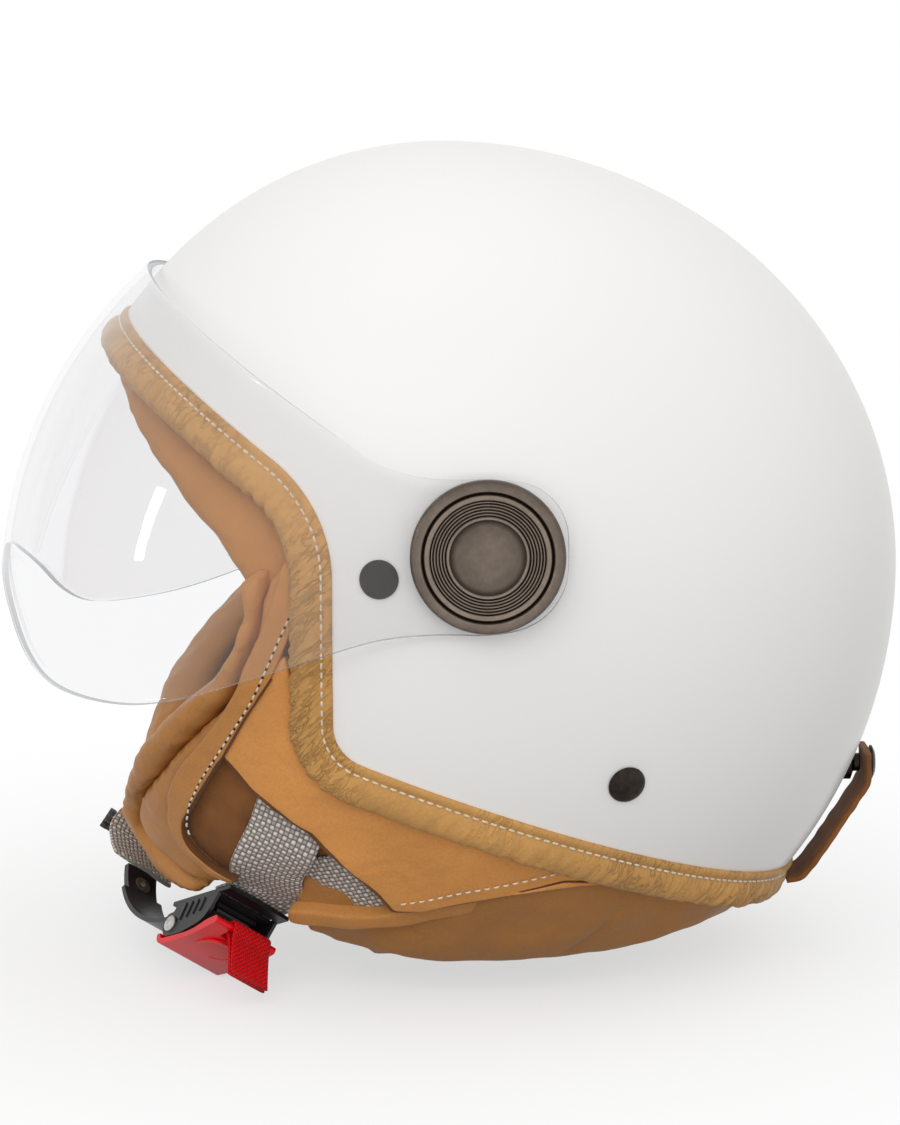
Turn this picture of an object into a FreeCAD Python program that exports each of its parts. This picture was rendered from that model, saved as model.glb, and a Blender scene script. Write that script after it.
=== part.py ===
"""Open-face motorcycle helmet with a bubble visor, leather trim and a ratchet chin strap.

Frame in millimetres: +X to the wearer's left, -Y to the front, +Z up. The origin is the
centre of the shell's form, inside the head cavity. The shell, its liners and its soft parts
are layers between ellipsoid forms, cut out by outlines drawn in the side view.
"""
import FreeCAD
import Part
import math
import os
import Sketcher

Vector = FreeCAD.Vector

SIZES = {
    # the shell's outer form: an ellipsoid in four quarters
    "form_half_width": 118.0,
    "form_front": 136.0,
    "form_back": 158.0,
    "form_top": 147.0,
    "form_bottom": 165.0,
    # layers from the outside in
    "shell_wall": 4.0,
    "fit_gap": 0.3,
    "foam_depth": 28.0,
    "crown_pad_depth": 9.0,
    "trim_proud": 2.2,
    "trim_inner_lip": 2.7,
    "strap_slot_depth": 9.0,
    "strap_slot_side": 5.0,
    "flap_depth": 0.8,
    "flap_thick": 2.0,
    "pad_front_depth": 3.0,
    "pad_thick": 20.0,
    "roll_depth": 3.3,
    "roll_thick": 26.7,
    # rim of the shell in the side view
    "rim_temple_y": -44.0,
    "rim_temple_z": 33.0,
    "rim_jaw_z": -49.0,
    "rim_brow_angle": 35.0,
    "rim_sill_angle": 21.0,
    "rim_temple_round": 35.0,
    "rim_jaw_round": 23.5,
    "trim_lip": 9.5,
    "trim_roll": 4.0,
    "foam_inset": 10.0,
    "side_reach": 190.0,
    "half_span": 150.0,
    # foam liner's lower edge at the sides
    "foam_ear_z": -8.0,
    "foam_ear_y": 34.0,
    # brow liner's lower edge
    "brow_low_y": -112.0,
    "brow_low_z": 66.0,
    "brow_end_y": -69.0,
    "brow_end_z": 10.0,
    "brow_seam_y": -47.0,
    "brow_seam_z": 24.0,
    "brow_inside_z": 135.0,
    # cheek pads
    "cheek_chin_y": -109.5,
    "cheek_chin_z": -71.0,
    "cheek_low_y": -86.0,
    "cheek_low_z": -111.0,
    "cheek_back_z": -100.0,
    "cheek_inside_x": 28.0,
    "cheek_back_y": 30.0,
    "hem_top_y": -48.0,
    "hem_top_z": -8.0,
    "hem_low_y": -84.0,
    "hem_low_z": -72.0,
    # ear flaps
    "flap_tip_y": -69.0,
    "flap_tip_z": -48.5,
    "flap_low_y": -17.0,
    "flap_low_z": -100.0,
    "flap_end_y": 45.0,
    # neck roll
    "roll_front_y": -50.0,
    "roll_low_z": -120.0,
    "roll_back_y": 112.0,
    # visor: a sheet turned about an axis along X, flat at the ears
    "visor_axis_z": -10.0,
    "visor_radius": 153.3,
    "visor_half_width": 121.5,
    "visor_wall": 2.2,
    "visor_shoulder": 90.0,
    "visor_front": 130.0,
    "visor_top_y": -12.4,
    "visor_top_z": 48.0,
    "visor_top_angle": 33.0,
    "visor_ear": 25.5,
    "visor_low_z": -28.5,
    "visor_low_y": -96.0,
    "visor_neck_y": -20.0,
    "visor_neck_z": -1.5,
    # visor pivot
    "pivot_y": 14.7,
    "pivot_z": 24.0,
    "pivot_boss": 9.0,
    "pivot_flange": 16.0,
    "pivot_screw": 3.0,
    "pivot_hole": 5.5,
    "running_gap": 0.06,
    "knob_radius": 24.5,
    "knob_thick": 4.4,
    "nut_flange": 10.0,
    "nut_flange_thick": 1.6,
    "nut_length": 7.0,
    # strap rivets
    "rivet_front_y": -19.6,
    "rivet_front_z": 15.5,
    "rivet_back_y": 59.9,
    "rivet_back_z": -54.3,
    "rivet_cap": 6.3,
    "rivet_cap_rise": 1.9,
    "rivet_shank": 2.3,
    "washer_radius": 6.0,
    "washer_thick": 1.2,
    # chin strap webbing
    "web_width": 25.0,
    "web_thick": 1.8,
    "web_depth": 8.8,
    # buckle frame: place of its pin's middle and its turns
    "buckle_x": 50.7,
    "buckle_y": -82.5,
    "buckle_z": -121.4,
    "buckle_yaw": 45.0,
    "buckle_pitch": -22.0,
    "buckle_roll": -37.0,
    # buckle
    "buckle_width": 26.0,
    "buckle_sheet": 1.4,
    "buckle_base_z": 7.3,
    "buckle_length": 25.0,
    "buckle_ear": 4.4,
    "plate_length": 30.0,
    "pin_radius": 1.6,
    "pin_head": 2.9,
    "pin_head_thick": 0.9,
    "lever_plate": 1.8,
    "lever_bar": 1.35,
    "lever_bar_x": 25.8,
    "lever_bar_z": 3.1,
    "lever_hub": 3.6,
    "lever_side_gap": 0.4,
    "pawl_gap": 0.3,
    "strip_width": 17.0,
    "strip_thick": 1.6,
    "tooth_height": 1.0,
    "tooth_pitch": 2.0,
    "tooth_count": 12.0,
    "strip_straight": 9.0,
    "strip_bend": 42.0,
    "strip_bend_angle": 58.0,
    "lug_angle": 16.0,
    "lug_width": 13.0,
    "eyelet_bore": 1.3,
    "eyelet_barrel": 2.0,
    "eyelet_flange": 3.1,
    "eyelet_flange_thick": 0.5,
    "spring_wire": 0.45,
    "spring_coils": 4.0,
    # pull tab on the lever
    "tab_width": 16.0,
    "tab_length": 18.0,
    "tab_thick": 3.0,
    "tab_lean": 70.0,
    "tab_side": 2.0,
    "tab_slot": 3.4,
    # strap slider
    "slider_length": 11.0,
    "slider_width": 30.0,
    "slider_thick": 2.4,
    "slider_bar": 2.6,
    # goggle strap at the back
    "goggle_width": 22.0,
    "goggle_thick": 2.6,
    "goggle_root_y": 122.8,
    "goggle_root_z": -113.3,
    "goggle_bend_y": 150.0,
    "goggle_bend_z": -77.0,
    "goggle_end_z": -65.0,
    "goggle_snap_z": -71.0,
    "snap_radius": 6.0,
    "snap_thick": 1.6,
    "stud_radius": 3.2,
}

doc = FreeCAD.newDocument("open_face_helmet")
sheet = doc.addObject("Spreadsheet::Sheet", "Sizes")
for row, (alias, value) in enumerate(SIZES.items(), start=1):
    sheet.set("A%d" % row, alias)
    sheet.set("B%d" % row, str(value))
    sheet.setAlias("B%d" % row, alias)
doc.recompute()

parts = []


def number(expression):
    """The value now of an expression of sheet sizes."""
    if not isinstance(expression, str):
        return float(expression)
    value = sheet.evalExpression(expression)
    return float(getattr(value, "Value", value))


def size(alias):
    """One plain size from the sheet."""
    return float(sheet.get(alias))


def bind(item, **expressions):
    """Tie the properties of a document object to expressions, or set them to numbers."""
    for name, expression in expressions.items():
        if isinstance(expression, str):
            item.setExpression(name, expression)
        else:
            setattr(item, name, expression)
    return item


def keep(item, label):
    """Name a finished piece and list it for export."""
    item.Label = label
    parts.append(item)
    return item


# ---------------------------------------------------------------- booleans


def cut(name, base, *tools):
    """Base less one tool, or less several fused tools."""
    item = doc.addObject("Part::Cut", name)
    item.Base = base
    item.Tool = tools[0] if len(tools) == 1 else fuse(name + "_tools", *tools)
    return item


def common(name, *shapes):
    item = doc.addObject("Part::MultiCommon", name)
    item.Shapes = list(shapes)
    return item


def fuse(name, *shapes):
    item = doc.addObject("Part::MultiFuse", name)
    item.Shapes = list(shapes)
    return item


def group(name, *shapes):
    """Separate solids kept together as one piece."""
    item = doc.addObject("Part::Compound", name)
    item.Links = list(shapes)
    return item


def mirrored(name, source):
    """The same piece on the wearer's other side."""
    item = doc.addObject("Part::Mirroring", name)
    item.Source = source
    item.Normal = Vector(1, 0, 0)
    return item


# ---------------------------------------------------------------- forms and layers

forms = {}


def form(depth):
    """Solid ellipsoid, in four quarters, that lies depth inside the shell's outer form."""
    if depth in forms:
        return forms[depth]
    name = "form_%d" % len(forms)
    quarters = []
    for tag, reach, height, low, turn in (
        ("front_top", "form_front", "form_top", 0, 180),
        ("back_top", "form_back", "form_top", 0, 0),
        ("front_low", "form_front", "form_bottom", -90, 180),
        ("back_low", "form_back", "form_bottom", -90, 0),
    ):
        quarter = doc.addObject("Part::Ellipsoid", name + "_" + tag)
        bind(
            quarter,
            Radius1="Sizes.%s - (%s)" % (height, depth),
            Radius2="Sizes.form_half_width - (%s)" % depth,
            Radius3="Sizes.%s - (%s)" % (reach, depth),
        )
        quarter.Angle1 = low
        quarter.Angle2 = low + 90
        quarter.Angle3 = 180
        quarter.Placement.Rotation = FreeCAD.Rotation(Vector(0, 0, 1), turn)
        quarters.append(quarter)
    forms[depth] = fuse(name, *quarters)
    return forms[depth]


def layer(name, outer_depth, inner_depth):
    """The shell between two depths below the outer form."""
    return cut(name, form(outer_depth), form(inner_depth))


def on_form(y, z, depth=0.0):
    """Point at depth on the wearer's left side of the form, at a side-view place."""
    reach = size("form_back" if y > 0 else "form_front") - depth
    height = size("form_top" if z > 0 else "form_bottom") - depth
    rest = max(0.0, 1.0 - (y / reach) ** 2 - (z / height) ** 2)
    return Vector((size("form_half_width") - depth) * math.sqrt(rest), y, z)


def form_normal(point):
    """Outward direction of the form at a point."""
    reach = size("form_back" if point.y > 0 else "form_front")
    height = size("form_top" if point.z > 0 else "form_bottom")
    normal = Vector(
        point.x / size("form_half_width") ** 2, point.y / reach**2, point.z / height**2
    )
    return normal.normalize()


# ---------------------------------------------------------------- sketches

SIDE_VIEW = FreeCAD.Placement(Vector(), FreeCAD.Rotation(Vector(1, 1, 1), 120))


def draw_outline(sketch, corners):
    """Closed outline of straight edges with rounded corners, each (across, up, radius).

    A corner's place and radius are numbers or expressions; a rounded corner keeps its
    sharp point as a construction point on both edges.
    """
    points = [Vector(number(c[0]), number(c[1]), 0) for c in corners]
    radii = [number(c[2]) if len(c) > 2 else 0.0 for c in corners]
    count = len(corners)
    touch = []
    for i, point in enumerate(points):
        back = (points[i - 1] - point).normalize()
        ahead = (points[(i + 1) % count] - point).normalize()
        half = back.getAngle(ahead) / 2
        reach = radii[i] / math.tan(half) if radii[i] else 0.0
        middle = (back + ahead).normalize() * (radii[i] / math.sin(half)) if radii[i] else Vector()
        touch.append((point + back * reach, point + ahead * reach, point + middle))
    edges = [
        sketch.addGeometry(Part.LineSegment(touch[i][1], touch[(i + 1) % count][0]), False)
        for i in range(count)
    ]
    for i in range(count):
        before, after = edges[i - 1], edges[i]
        if radii[i]:
            start, end, centre = touch[i]
            angles = [math.atan2(p.y - centre.y, p.x - centre.x) for p in (start, end)]
            left_turn = (start - centre).cross(end - centre).z > 0
            circle = Part.Circle(centre, Vector(0, 0, 1), radii[i])
            arc = sketch.addGeometry(
                Part.ArcOfCircle(circle, *(angles if left_turn else angles[::-1])), False
            )
            first, last = (1, 2) if left_turn else (2, 1)
            sketch.addConstraint(Sketcher.Constraint("Tangent", before, 2, arc, first))
            sketch.addConstraint(Sketcher.Constraint("Tangent", arc, last, after, 1))
            tie(sketch, Sketcher.Constraint("Radius", arc, radii[i]), corners[i][2])
            corner = sketch.addGeometry(Part.Point(points[i]), True)
            sketch.addConstraint(Sketcher.Constraint("PointOnObject", corner, 1, before))
            sketch.addConstraint(Sketcher.Constraint("PointOnObject", corner, 1, after))
            place = (corner, 1)
        else:
            sketch.addConstraint(Sketcher.Constraint("Coincident", before, 2, after, 1))
            place = (after, 1)
        across = Sketcher.Constraint("DistanceX", -1, 1, place[0], place[1], points[i].x)
        up = Sketcher.Constraint("DistanceY", -1, 1, place[0], place[1], points[i].y)
        tie(sketch, across, corners[i][0])
        tie(sketch, up, corners[i][1])


def tie(sketch, constraint, expression):
    """Add a dimension and bind it to its expression."""
    index = sketch.addConstraint(constraint)
    if isinstance(expression, str):
        sketch.setExpression("Constraints[%d]" % index, expression)


def side_outline(name, corners):
    """Sketch in the side view: across is Y, up is Z."""
    sketch = doc.addObject("Sketcher::SketchObject", name)
    sketch.Placement = SIDE_VIEW
    draw_outline(sketch, corners)
    return sketch


def side_prism(name, outline, from_x="-Sizes.half_span", to_x="Sizes.half_span"):
    """Side-view outline carried along X."""
    prism = doc.addObject("Part::Extrusion", name)
    prism.Base = outline
    prism.DirMode = "Custom"
    prism.Dir = Vector(1, 0, 0)
    prism.Solid = True
    return bind(prism, LengthFwd=to_x, LengthRev="-(%s)" % from_x)


def grown(name, outline, amount):
    """The same outline moved outwards by an amount, round at its corners."""
    item = doc.addObject("Part::Offset2D", name)
    item.Source = outline
    return bind(item, Value=amount)


def body_sketch(body, plane, name, corners):
    """Sketch on one of a body's own origin planes."""
    sketch = body.newObject("Sketcher::SketchObject", name)
    origin_plane = [f for f in body.Origin.OriginFeatures if f.Role == plane][0]
    sketch.AttachmentSupport = [(origin_plane, "")]
    sketch.MapMode = "FlatFace"
    draw_outline(sketch, corners)
    return sketch


def turned(name, corners):
    """Body of revolution about its own Z axis; corners are (radius, height[, round])."""
    body = doc.addObject("PartDesign::Body", name)
    sketch = body_sketch(body, "XZ_Plane", name + "_profile", corners)
    feature = body.newObject("PartDesign::Revolution", name + "_turn")
    feature.Profile = sketch
    feature.ReferenceAxis = (sketch, ["V_Axis"])
    feature.Angle = 360
    return body


def padded_plate(name, plane, corners, length):
    """Body padded from a sketch, half of its length to each side of the plane."""
    body = doc.addObject("PartDesign::Body", name)
    sketch = body_sketch(body, plane, name + "_profile", corners)
    feature = body.newObject("PartDesign::Pad", name + "_pad")
    feature.Profile = sketch
    feature.Midplane = True
    bind(feature, Length=length)
    return body


def add_pad(body, plane, corners, length, name):
    """One more pad on the same body."""
    feature = body.newObject("PartDesign::Pad", name)
    feature.Profile = body_sketch(body, plane, name + "_profile", corners)
    feature.Midplane = True
    bind(feature, Length=length)
    return feature


def cylinder(name, radius, length, placement):
    item = doc.addObject("Part::Cylinder", name)
    bind(item, Radius=radius, Height=length)
    item.Placement = placement
    return item


def pointing(direction):
    """Rotation that turns +Z to a direction."""
    return FreeCAD.Rotation(Vector(0, 0, 1), direction)


# ---------------------------------------------------------------- outlines of the rim

RIM_FRONT_Z = (
    "Sizes.rim_temple_z + (Sizes.side_reach + Sizes.rim_temple_y) * tan(Sizes.rim_brow_angle * 1deg)"
)
RIM_BACK_Z = (
    "Sizes.rim_jaw_z - (Sizes.side_reach - Sizes.rim_temple_y) * tan(Sizes.rim_sill_angle * 1deg)"
)

rim = side_outline(
    "rim",
    [
        ("-Sizes.side_reach", RIM_FRONT_Z),
        ("Sizes.rim_temple_y", "Sizes.rim_temple_z", "Sizes.rim_temple_round"),
        ("Sizes.rim_temple_y", "Sizes.rim_jaw_z", "Sizes.rim_jaw_round"),
        ("Sizes.side_reach", RIM_BACK_Z),
        ("Sizes.side_reach", "Sizes.side_reach"),
        ("-Sizes.side_reach", "Sizes.side_reach"),
    ],
)
above_rim = side_prism("above_rim", rim)
above_trim_top = side_prism("above_trim_top", grown("trim_top", rim, "-Sizes.trim_lip"))
above_trim_low = side_prism("above_trim_low", grown("trim_low", rim, "Sizes.trim_roll"))
above_seat = side_prism("above_seat", grown("trim_seat", rim, "Sizes.fit_gap"))
above_flap_top = side_prism(
    "above_flap_top", grown("flap_top", rim, "Sizes.trim_roll + Sizes.fit_gap")
)
above_foam = side_prism("above_foam", grown("foam_edge", rim, "-Sizes.foam_inset"))
above_soft = side_prism(
    "above_soft", grown("soft_edge", rim, "Sizes.fit_gap - Sizes.foam_inset")
)

# depths below the outer form
SHELL_IN = "Sizes.shell_wall"
LINER_OUT = "Sizes.shell_wall + Sizes.fit_gap"
LIP_IN = "Sizes.shell_wall + Sizes.fit_gap + Sizes.trim_inner_lip"
SLOT_IN = "Sizes.shell_wall + Sizes.strap_slot_depth"
FOAM_IN = "Sizes.shell_wall + Sizes.foam_depth"
CROWN_OUT = "Sizes.shell_wall + Sizes.foam_depth + Sizes.fit_gap"
CROWN_IN = "Sizes.shell_wall + Sizes.foam_depth + Sizes.crown_pad_depth"

# ---------------------------------------------------------------- shell


def across_pair(name, y, z, radius):
    """Cylinder along X right through both sides."""
    item = cylinder(
        name,
        radius,
        "2 * Sizes.half_span",
        FreeCAD.Placement(Vector(), FreeCAD.Rotation(Vector(0, 1, 0), 90)),
    )
    item.setExpression("Placement.Base.x", "-Sizes.half_span")
    item.setExpression("Placement.Base.y", y)
    item.setExpression("Placement.Base.z", z)
    return item


def left_normal_bar(name, y, z, radius, outside, inside):
    """Cylinder along the form's normal through the left wall, and its mirror image."""
    point = on_form(size(y), size(z))
    normal = form_normal(point)
    placement = FreeCAD.Placement(point - normal * inside, pointing(normal))
    left = cylinder(name, radius, outside + inside, placement)
    return left, mirrored(name + "_right", left)


shell_wall = layer("shell_layer", "0", SHELL_IN)
pivot_holes = across_pair("pivot_holes", "Sizes.pivot_y", "Sizes.pivot_z", "Sizes.pivot_hole")
RIVET_PLACES = (("rivet_front_y", "rivet_front_z"), ("rivet_back_y", "rivet_back_z"))


rivet_holes = []
for hole_y, hole_z in RIVET_PLACES:
    rivet_holes += left_normal_bar(
        hole_y + "_hole", hole_y, hole_z, "Sizes.rivet_shank + 0.1", 12.0, 12.0
    )
shell = cut(
    "shell_body", common("shell_open", shell_wall, above_rim), pivot_holes, *rivet_holes
)
keep(shell, "shell")

# ---------------------------------------------------------------- edge trim

trim_band = cut("trim_band", above_trim_low, above_trim_top)
trim_ring = common("trim_ring", layer("trim_layer", "-Sizes.trim_proud", LIP_IN), trim_band)
trim_seat = common("trim_seat_layer", layer("seat_layer", "-Sizes.fit_gap", LINER_OUT), above_seat)
keep(cut("trim_body", trim_ring, trim_seat), "edge_trim")

# ---------------------------------------------------------------- liners


def strap_slot(name, start, end):
    """Box along a strap's hidden run, across the whole helmet; its ends are side-view places."""
    run = Vector(0, end[0] - start[0], end[1] - start[1])
    box = doc.addObject("Part::Box", name)
    width = size("web_width") + size("strap_slot_side")
    box.Length = run.Length
    box.Width = width
    bind(box, Height="2 * Sizes.half_span")
    along = Vector(run).normalize()
    turn = FreeCAD.Rotation(along, Vector(1, 0, 0).cross(along), Vector(1, 0, 0), "XZY")
    corner = Vector(-size("half_span"), start[0], start[1])
    box.Placement = FreeCAD.Placement(corner - turn.multVec(Vector(0, width / 2, 0)), turn)
    return box


FRONT_RUN = ((-14.0, 33.0), (-62.0, -104.0))
BACK_RUN = ((78.0, -44.0), (-62.0, -104.0))
slots = fuse(
    "strap_slots", strap_slot("front_slot", *FRONT_RUN), strap_slot("back_slot", *BACK_RUN)
)
slot_space = common("slot_space", layer("slot_layer", "-Sizes.trim_proud", SLOT_IN), slots)
ear_space = side_prism(
    "ear_space",
    side_outline(
        "ear_outline",
        [
            ("-Sizes.side_reach", "Sizes.foam_ear_z"),
            ("-Sizes.side_reach", "-Sizes.side_reach"),
            ("Sizes.foam_ear_y", "-Sizes.side_reach"),
            ("Sizes.foam_ear_y", "Sizes.foam_ear_z", 12),
        ],
    ),
)
nut_pocket = across_pair(
    "nut_pockets", "Sizes.pivot_y", "Sizes.pivot_z", "Sizes.nut_flange + 1.5"
)
pocket_space = common(
    "pocket_space", nut_pocket, layer("pocket_layer", "-Sizes.trim_proud", "Sizes.shell_wall + 18")
)
foam = cut(
    "foam_body",
    common("foam_open", layer("foam_layer", LINER_OUT, FOAM_IN), above_foam),
    ear_space,
    slot_space,
    pocket_space,
)
keep(foam, "foam_liner")

crown = cut(
    "crown_body", common("crown_open", layer("crown_layer", CROWN_OUT, CROWN_IN), above_foam), ear_space
)
keep(crown, "crown_pad")

BROW_SLOPE = "(Sizes.brow_low_z - Sizes.brow_end_z) / (Sizes.brow_end_y - Sizes.brow_low_y)"
BROW_RISE = "(Sizes.half_span + Sizes.brow_low_y) * " + BROW_SLOPE
brow_outline = side_outline(
    "brow_outline",
    [
        ("-Sizes.half_span", "Sizes.brow_low_z + " + BROW_RISE),
        ("Sizes.brow_end_y", "Sizes.brow_end_z", 8),
        ("Sizes.brow_seam_y", "Sizes.brow_seam_z"),
        ("Sizes.brow_seam_y", "Sizes.brow_inside_z"),
        ("-Sizes.half_span", "Sizes.brow_inside_z"),
    ],
)
brow = cut(
    "brow_body",
    common(
        "brow_open",
        layer("brow_layer", LIP_IN + " + Sizes.fit_gap", CROWN_IN),
        side_prism("brow_prism", brow_outline),
    ),
    above_soft,
)
keep(brow, "brow_liner")

# ---------------------------------------------------------------- cheek pads, ear flaps, neck roll

PAD_RECESS = SLOT_IN
PAD_IN = "Sizes.pad_front_depth + Sizes.pad_thick + 7"
CHEEK_FRONT = [
    ("Sizes.brow_seam_y", "Sizes.brow_seam_z - 1"),
    ("Sizes.brow_end_y", "Sizes.brow_end_z - 0.6", 6),
    ("Sizes.brow_end_y - 3", "Sizes.brow_end_z - 24", 12),
    ("Sizes.brow_end_y + 1", "Sizes.brow_end_z - 42", 6),
    ("Sizes.cheek_chin_y", "Sizes.cheek_chin_z", 12),
    ("Sizes.cheek_chin_y + 1", "Sizes.cheek_low_z + 9", 12),
    ("Sizes.cheek_low_y", "Sizes.cheek_low_z", 10),
]
cheek_outer_outline = side_outline(
    "cheek_outer_outline",
    CHEEK_FRONT
    + [
        ("Sizes.hem_low_y + 8", "Sizes.hem_low_z - 25", 4),
        ("Sizes.hem_low_y", "Sizes.hem_low_z", 8),
        ("Sizes.hem_top_y", "Sizes.hem_top_z"),
    ],
)
cheek_inner_outline = side_outline(
    "cheek_inner_outline",
    CHEEK_FRONT
    + [
        ("Sizes.hem_low_y + 14", "Sizes.cheek_back_z", 4),
        ("Sizes.roll_front_y - Sizes.fit_gap", "Sizes.cheek_back_z"),
        ("Sizes.roll_front_y - Sizes.fit_gap", "Sizes.rim_jaw_z + Sizes.fit_gap"),
        ("Sizes.rim_temple_y", "Sizes.rim_jaw_z + Sizes.fit_gap"),
        ("Sizes.rim_temple_y", "Sizes.foam_ear_z - Sizes.fit_gap"),
    ],
)
cheek_back_outline = side_outline(
    "cheek_back_outline",
    [
        ("Sizes.roll_front_y - 5", "Sizes.foam_ear_z - Sizes.fit_gap"),
        ("Sizes.roll_front_y - 5", "-Sizes.half_span"),
        ("Sizes.cheek_back_y", "-Sizes.half_span"),
        ("Sizes.cheek_back_y", "Sizes.foam_ear_z - Sizes.fit_gap", 12),
    ],
)
pad_core = layer("pad_core_layer", PAD_RECESS, PAD_IN)
pad_skin = layer("pad_skin_layer", "Sizes.pad_front_depth", PAD_RECESS + " + 1")
cheek_outer = side_prism("cheek_outer", cheek_outer_outline, "Sizes.cheek_inside_x")
cheek_left = fuse(
    "left_cheek_body",
    cut(
        "cheek_front",
        common("cheek_skin", pad_skin, cheek_outer),
        above_flap_top,
    ),
    common("cheek_core", pad_core, side_prism("cheek_inner", cheek_inner_outline, "Sizes.cheek_inside_x")),
    common(
        "cheek_back",
        pad_core,
        side_prism("cheek_rear", cheek_back_outline, "Sizes.cheek_inside_x"),
        above_trim_low,
    ),
)
keep(cheek_left, "left_cheek_pad")
keep(mirrored("right_cheek_body", cheek_left), "right_cheek_pad")

flap_outline = side_outline(
    "flap_outline",
    [
        ("Sizes.hem_top_y", "Sizes.hem_top_z - 2"),
        ("Sizes.flap_tip_y", "Sizes.flap_tip_z"),
        ("Sizes.flap_tip_y + 16", "Sizes.flap_tip_z - 18", 30),
        ("Sizes.flap_tip_y + 34", "Sizes.flap_tip_z - 31", 30),
        ("Sizes.flap_low_y", "Sizes.flap_low_z"),
        ("Sizes.flap_low_y + 22", "Sizes.flap_low_z + 5", 30),
        ("Sizes.flap_end_y", "Sizes.flap_low_z + 12"),
        ("Sizes.flap_end_y", "Sizes.rim_jaw_z"),
    ],
)
flap_left = cut(
    "left_flap_body",
    common(
        "flap_open",
        layer("flap_layer", "Sizes.flap_depth", "Sizes.flap_depth + Sizes.flap_thick"),
        side_prism("flap_prism", flap_outline, "10"),
    ),
    above_flap_top,
)
keep(flap_left, "left_ear_flap")
keep(mirrored("right_flap_body", flap_left), "right_ear_flap")

roll_outline = side_outline(
    "roll_outline",
    [
        ("Sizes.roll_front_y", "Sizes.rim_jaw_z"),
        ("Sizes.roll_front_y", "Sizes.roll_low_z + 30", 5),
        ("Sizes.roll_front_y + 4.5", "Sizes.roll_low_z + 20", 5),
        ("Sizes.roll_front_y + 4.5", "Sizes.roll_low_z + 6", 5),
        ("Sizes.roll_front_y + 14", "Sizes.roll_low_z", 12),
        ("Sizes.roll_back_y - 50", "Sizes.roll_low_z - 1", 60),
        ("Sizes.roll_back_y - 14", "Sizes.roll_low_z + 1", 30),
        ("Sizes.roll_back_y", "Sizes.roll_low_z + 7", 6),
        ("Sizes.roll_back_y + 18", "Sizes.roll_low_z + 24"),
        ("Sizes.roll_back_y + 18", "Sizes.rim_jaw_z"),
    ],
)
roll = cut(
    "roll_body",
    common(
        "roll_open",
        layer("roll_layer", "Sizes.roll_depth", "Sizes.roll_depth + Sizes.roll_thick"),
        side_prism("roll_prism", roll_outline),
    ),
    above_flap_top,
    slot_space,
)
keep(roll, "neck_roll")

# ---------------------------------------------------------------- visor


def visor_profile():
    """Half section of the visor sheet: flat, shoulder arc and front arc, then back inside."""
    half, wall = size("visor_half_width"), size("visor_wall")
    shoulder, front, radius = size("visor_shoulder"), size("visor_front"), size("visor_radius")
    front_centre = Vector(0, radius - front, 0)
    lift = math.sqrt((front - shoulder) ** 2 - (half - shoulder) ** 2)
    shoulder_centre = Vector(half - shoulder, front_centre.y + lift, 0)
    meet = (shoulder_centre - front_centre).normalize()
    edges, flats, tips = [], [], []
    for inset in (0.0, wall):
        flat_start = Vector(half - inset, 0, 0)
        flat_end = Vector(half - inset, shoulder_centre.y, 0)
        joint = front_centre + meet * (front - inset)
        tip = Vector(0, radius - inset, 0)
        turn = math.atan2(meet.y, meet.x)
        on_shoulder = shoulder_centre + Vector(
            math.cos(turn / 2), math.sin(turn / 2), 0
        ) * (shoulder - inset)
        middle = (turn + math.pi / 2) / 2
        on_front = front_centre + Vector(math.cos(middle), math.sin(middle), 0) * (front - inset)
        edges.append(Part.LineSegment(flat_start, flat_end).toShape())
        edges.append(Part.Arc(flat_end, on_shoulder, joint).toShape())
        edges.append(Part.Arc(joint, on_front, tip).toShape())
        flats.append(flat_start)
        tips.append(tip)
    edges.append(Part.LineSegment(*flats).toShape())
    edges.append(Part.LineSegment(*tips).toShape())
    return Part.Face(Part.Wire(Part.__sortEdges__(edges)))


visor_half = doc.addObject("Part::Feature", "visor_half")
bowl = visor_profile().revolve(Vector(), Vector(1, 0, 0), 360)
bowl.translate(Vector(0, 0, size("visor_axis_z")))
visor_half.Shape = bowl
visor_sheet = fuse("visor_sheet", visor_half, mirrored("visor_other_half", visor_half))
VISOR_TOP_RISE = "(Sizes.side_reach + Sizes.visor_top_y) * tan(Sizes.visor_top_angle * 1deg)"
visor_outline = side_outline(
    "visor_outline",
    [
        ("-Sizes.side_reach", "Sizes.visor_top_z + " + VISOR_TOP_RISE),
        ("-Sizes.side_reach", "Sizes.visor_axis_z + 30"),
        ("-Sizes.visor_radius + 4", "Sizes.visor_axis_z + 10", 30),
        ("-Sizes.visor_radius + 16", "Sizes.visor_low_z", 26),
        ("Sizes.visor_low_y", "Sizes.visor_low_z", 70),
        ("Sizes.visor_neck_y", "Sizes.visor_neck_z", 60),
        ("Sizes.pivot_y + Sizes.visor_ear", "Sizes.pivot_z - Sizes.visor_ear", "Sizes.visor_ear - 0.5"),
        ("Sizes.pivot_y + Sizes.visor_ear", "Sizes.visor_top_z", "Sizes.visor_ear - 2"),
        ("Sizes.visor_top_y", "Sizes.visor_top_z", 60),
    ],
)
visor_bore = across_pair(
    "visor_bore", "Sizes.pivot_y", "Sizes.pivot_z", "Sizes.pivot_boss + Sizes.running_gap"
)
visor_open = common("visor_open", visor_sheet, side_prism("visor_prism", visor_outline))
keep(cut("visor_body", visor_open, visor_bore), "visor")

# ---------------------------------------------------------------- visor pivots and knobs

SIDES = (("left", 1), ("right", -1))


def at_pivot(body, side, reach):
    """Put a turned body on the pivot axis, its own Z pointing out of one side."""
    body.Placement.Rotation = FreeCAD.Rotation(Vector(0, 1, 0), 90 * side)
    body.setExpression("Placement.Base.x", "%d * (%s)" % (side, reach))
    body.setExpression("Placement.Base.y", "Sizes.pivot_y")
    body.setExpression("Placement.Base.z", "Sizes.pivot_z")
    return body


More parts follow.
